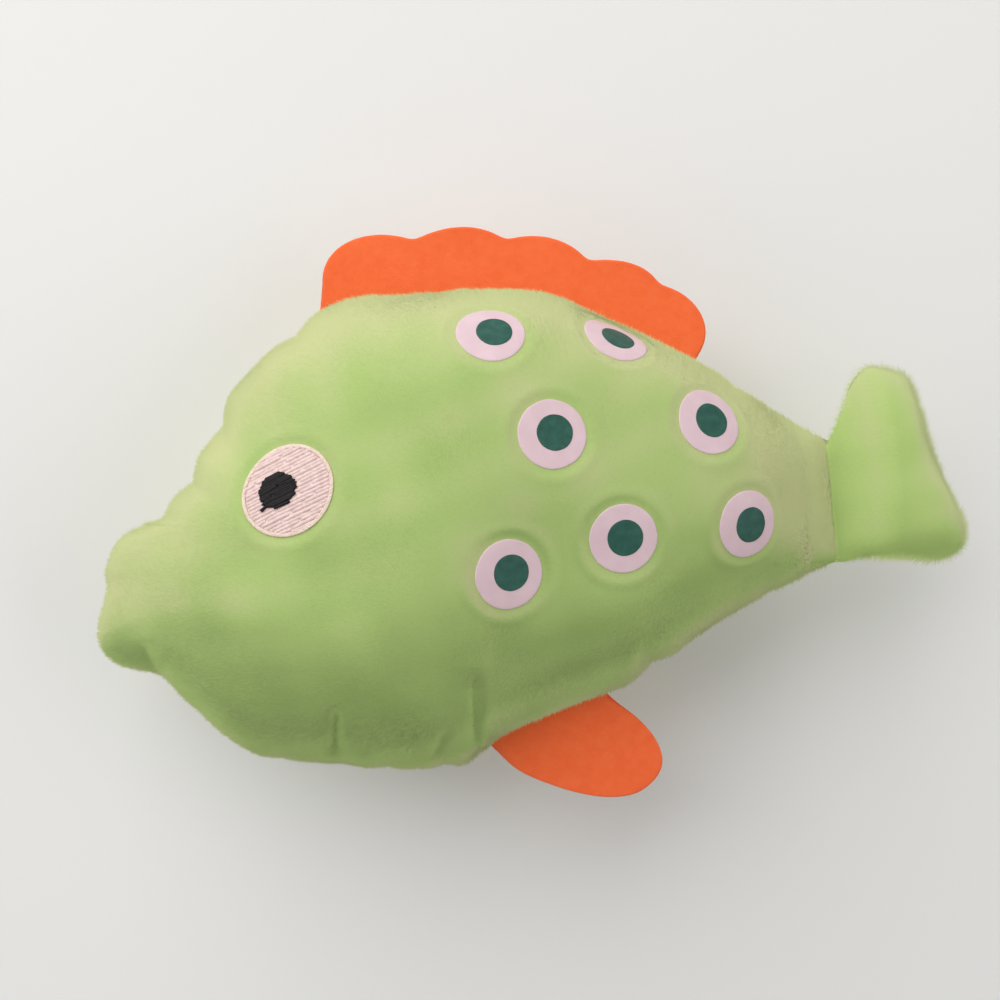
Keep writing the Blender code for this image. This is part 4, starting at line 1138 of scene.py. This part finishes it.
def tail_pile():
    """Longer pile of the tail."""
    density, length, width = TAIL_PILE
    draw = np.random.default_rng(SEED + 1)
    ring, column = scatter(cell_areas(TAIL.points, True), density, draw)
    root = TAIL.sample(TAIL.points, ring, column)
    gap = from_crease(root[:, 0], root[:, 1])
    keep = gap > TAIL_PILE_START
    length = length * np.clip(TAIL_PILE_SHORT + gap[keep] / TAIL_PILE_GROWTH, 0, 1)
    root, normal, tip = combed(TAIL, ring[keep], column[keep], length, draw)
    # patches with painted sheen, light and shade, plus a random tone per fibre
    shade = plush_patches_and_painted_light(root, normal) + draw.normal(0, FIBRE_SHADE, len(root))
    piece = pile_piece("tail_pile", root, normal, tip, width, shade, TAIL_PLUSH_PILE, "green_plush", TAIL_FAN)
    bend_tail(piece)


def felt_fuzz(name, top, foot):
    """Short loose fibres that stand off both faces and the edge of a felt fin."""
    density, length, width = FELT_PILE
    draw = np.random.default_rng(SEED + 2)
    roots, normals = [], []
    for face, side in ((top, 1), (foot, -1)):
        row, column = scatter(cell_areas(face, False), density, draw)
        r, c = row.astype(int), column.astype(int)
        shares = (row - r)[:, None], (column - c)[:, None]
        normal = unit(np.cross(np.gradient(face, axis=1), np.gradient(face, axis=0)))
        normal *= side * np.sign(normal[FIN_ROWS // 2, FIN_COLUMNS // 2, 2])
        roots.append(between(face, r, c, c + 1, *shares))
        normals.append(unit(between(normal, r, c, c + 1, *shares)))
    root, normal = np.vstack(roots), np.vstack(normals)
    heading = unit(draw.normal(0, 1, root.shape))
    grown = length * draw.uniform(*FUZZ_SPREAD, len(root))[:, None]
    tip = root + grown * unit(FUZZ_RISE * normal + heading * FUZZ_STRAY)
    over = ((tip - root) * normal).sum(axis=1, keepdims=True)
    tip = tip + np.maximum(FUZZ_LEAST - over, 0) * normal
    shade = MIDDLE_SHADE + draw.normal(0, FUZZ_SHADE, len(root))
    return pile_piece(name, root, normal, tip, width, shade, FELT_FIBRES, "orange_felt")


def bend_tail(piece):
    """Bake a piece of the tail's transform into its mesh; it isn't bent."""
    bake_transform(piece)


# Inside

def hollow(x, y):
    """Height of the fill's inner face: flat near the seam plane, arched over the squeaker's bulb and neck."""
    x, y = x - BULB_PLACE[0], y - BULB_PLACE[1]
    bulb = BULB_RADIUS * np.sqrt(np.maximum(1 - (x / BULB_HALF) ** 2 - (y / BULB_RADIUS) ** 2, 0))
    neck = NECK_RADIUS * np.sqrt(np.maximum(1 - (y / NECK_RADIUS) ** 2, 0))
    neck = neck * ((x > 0) & (x < NECK_END - BULB_PLACE[0]))
    return np.maximum(WAD_INSIDE, np.maximum(bulb, neck))


def build_wad(word, side):
    """Wad of fill on one side: the cover drawn in, with an inner face hollowed for the squeaker."""
    rows = BODY.points[:BODY_RINGS + 1:WAD_STEP, ::WAD_STEP]
    if side < 0:
        rows = BODY.points[:BODY_RINGS - 1:-WAD_STEP, ::WAD_STEP]
    x, y = WAD_SHARE * rows[..., 0], WAD_SHARE * rows[..., 1]
    inner = hollow(x, y)
    tuft = 1 + TUFT_HEIGHT * waves(x, y, *TUFT_WAVES)
    outer = np.maximum(WAD_HEIGHT * np.abs(rows[..., 2]) * tuft, inner) + WAD_EDGE
    outside, inside = (np.stack([x, y, side * level], -1) for level in (outer, inner))
    grid = np.concatenate([outside, inside[::-1]])
    piece = new_piece(word + "_fill_wad", *closed_grids(grid[None]), WHITE_FIBRE, "fibre_fill")
    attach(piece, "body")
    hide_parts(word + "_body_fill")


def build_tail_wad():
    """Thin wad of fill in the tail: its cover drawn in towards the middle."""
    middle = np.array([*TAIL_CENTRE, 0.0])
    grid = middle + (TAIL.points[::TAIL_WAD_STEP, ::TAIL_WAD_STEP] - middle) * TAIL_WAD_SHARE
    piece = new_piece("tail_fill_wad", *closed_grids(grid[None]), WHITE_FIBRE, "fibre_fill")
    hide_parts("tail_fill")
    bend_tail(piece)


# Colours and materials

# the dark ends stand for painted shade and the cream ends for painted sheen, reached through the plush tone
GREEN_SHADES = [(0.31, 0.43, 0.135), (0.41, 0.55, 0.18), (0.565, 0.60, 0.285)]
TAIL_SHADES = [(0.35, 0.485, 0.145), (0.455, 0.61, 0.195), (0.57, 0.63, 0.295)]
PLUSH_SHEEN = (0.35, 0.32, (1.0, 0.93, 0.70))
BODY_BACKING, TAIL_BACKING = (
    finish(name, stops, 14.0, (0.85, 0.98), (0.5, 0.3, 0.2), PLUSH_SHEEN, 0.2, SHADE_NAME)
    for name, stops in (("plush backing", GREEN_SHADES), ("tail backing", TAIL_SHADES)))
# 0.95 here and below is painted shade at the roots of the plush fibres
BODY_PLUSH_PILE = pile_finish("plush pile", GREEN_SHADES, 0.95, PLUSH_SHEEN)
TAIL_PLUSH_PILE = pile_finish("longer tail pile", TAIL_SHADES, 0.95, PLUSH_SHEEN)
FELT_SHADES = [(0.97, 0.15, 0.04), (0.99, 0.16, 0.045), (1.0, 0.172, 0.052)]
FELT_SHEEN = (0.2, 0.5, (1.0, 0.6, 0.4))
ORANGE_FELT = finish("orange felt", FELT_SHADES, 2.5, (0.85, 0.98), (0.25, 0.7, 0.25), FELT_SHEEN, 0.2)
# 0.8 is painted shade at the roots of the felt fibres
FELT_FIBRES = pile_finish("felt fibres", FELT_SHADES, 0.8, FELT_SHEEN)
PALE_SHADES = [(0.73, 0.53, 0.57), (0.755, 0.555, 0.60), (0.785, 0.585, 0.62)]
PALE_FILM = finish("pale film", PALE_SHADES, 4.0, (0.42, 0.60), (0.35, 0.25, 0.08))
DARK_SHADES = [(0.015, 0.082, 0.060), (0.020, 0.097, 0.072), (0.027, 0.12, 0.087)]
GREEN_FILM = finish("dark green film", DARK_SHADES, 1.6, (0.45, 0.62), (0.35, 0.3, 0.08), None, 0.35)
THREAD_SHEEN = (0.15, 0.3, (1.0, 0.95, 0.9))
THREAD_GRAIN = (0.12, 0.5, 0.06)
WHITE_SHADES = [(0.74, 0.53, 0.495), (0.81, 0.61, 0.57), (0.87, 0.68, 0.64)]
WHITE_THREAD = finish("white thread", WHITE_SHADES, 1.2, (0.40, 0.60), THREAD_GRAIN, THREAD_SHEEN)
CREAM_SHADES = [(0.82, 0.61, 0.51), (0.87, 0.69, 0.58), (0.91, 0.75, 0.65)]
CREAM_THREAD = finish("cream thread", CREAM_SHADES, 1.2, (0.40, 0.60), THREAD_GRAIN, THREAD_SHEEN)
BLACK_SHADES = [(0.006, 0.0045, 0.005), (0.010, 0.008, 0.009), (0.016, 0.013, 0.014)]
BLACK_THREAD = finish("black thread", BLACK_SHADES, 0.8, (0.55, 0.75), THREAD_GRAIN, None, 0.3)
FILL_SHADES = [(0.75, 0.75, 0.72), (0.85, 0.85, 0.82), (0.92, 0.92, 0.90)]
WHITE_FIBRE = finish("fibre fill", FILL_SHADES, 3.0, (0.9, 1.0), (0.4, 0.8, 0.5))
PLASTIC_SHADES = [(0.78, 0.78, 0.76), (0.84, 0.84, 0.82), (0.88, 0.88, 0.86)]
SQUEAKER_PLASTIC = finish("squeaker plastic", PLASTIC_SHADES, 8.0, (0.30, 0.42), (0.3, 0.1, 0.02))

# The toy, from its stage to its inside

add_camera()
add_stage()
BODY = build_body()
cover = new_piece("plush_body", *closed_grids(BODY.points[None]), BODY_BACKING, "green_plush")
shade_cover(cover, BODY, BODY_FAN)
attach(cover, "body")
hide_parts("left_side_panel", "right_side_panel")
TAIL = build_tail()
tail = new_piece("plush_tail", *closed_grids(TAIL.points[None]), TAIL_BACKING, "green_plush")
shade_cover(tail, TAIL, TAIL_FAN)
tail.visible_shadow = False     # it would darken the fringe of the tail's own pile
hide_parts("left_tail_panel", "right_tail_panel")
bend_tail(tail)
body_pile()
tail_pile()
build_back_fin()
build_belly_fin()
for word, side in SIDES.items():
    build_spots(word, side)
    build_eye(word, side)
    build_wad(word, side)
build_tail_wad()
for part in ("squeaker_bulb", "squeaker_plug", "squeaker_reed"):
    frame["nodes"][part].material_slots[0].material = SQUEAKER_PLASTIC
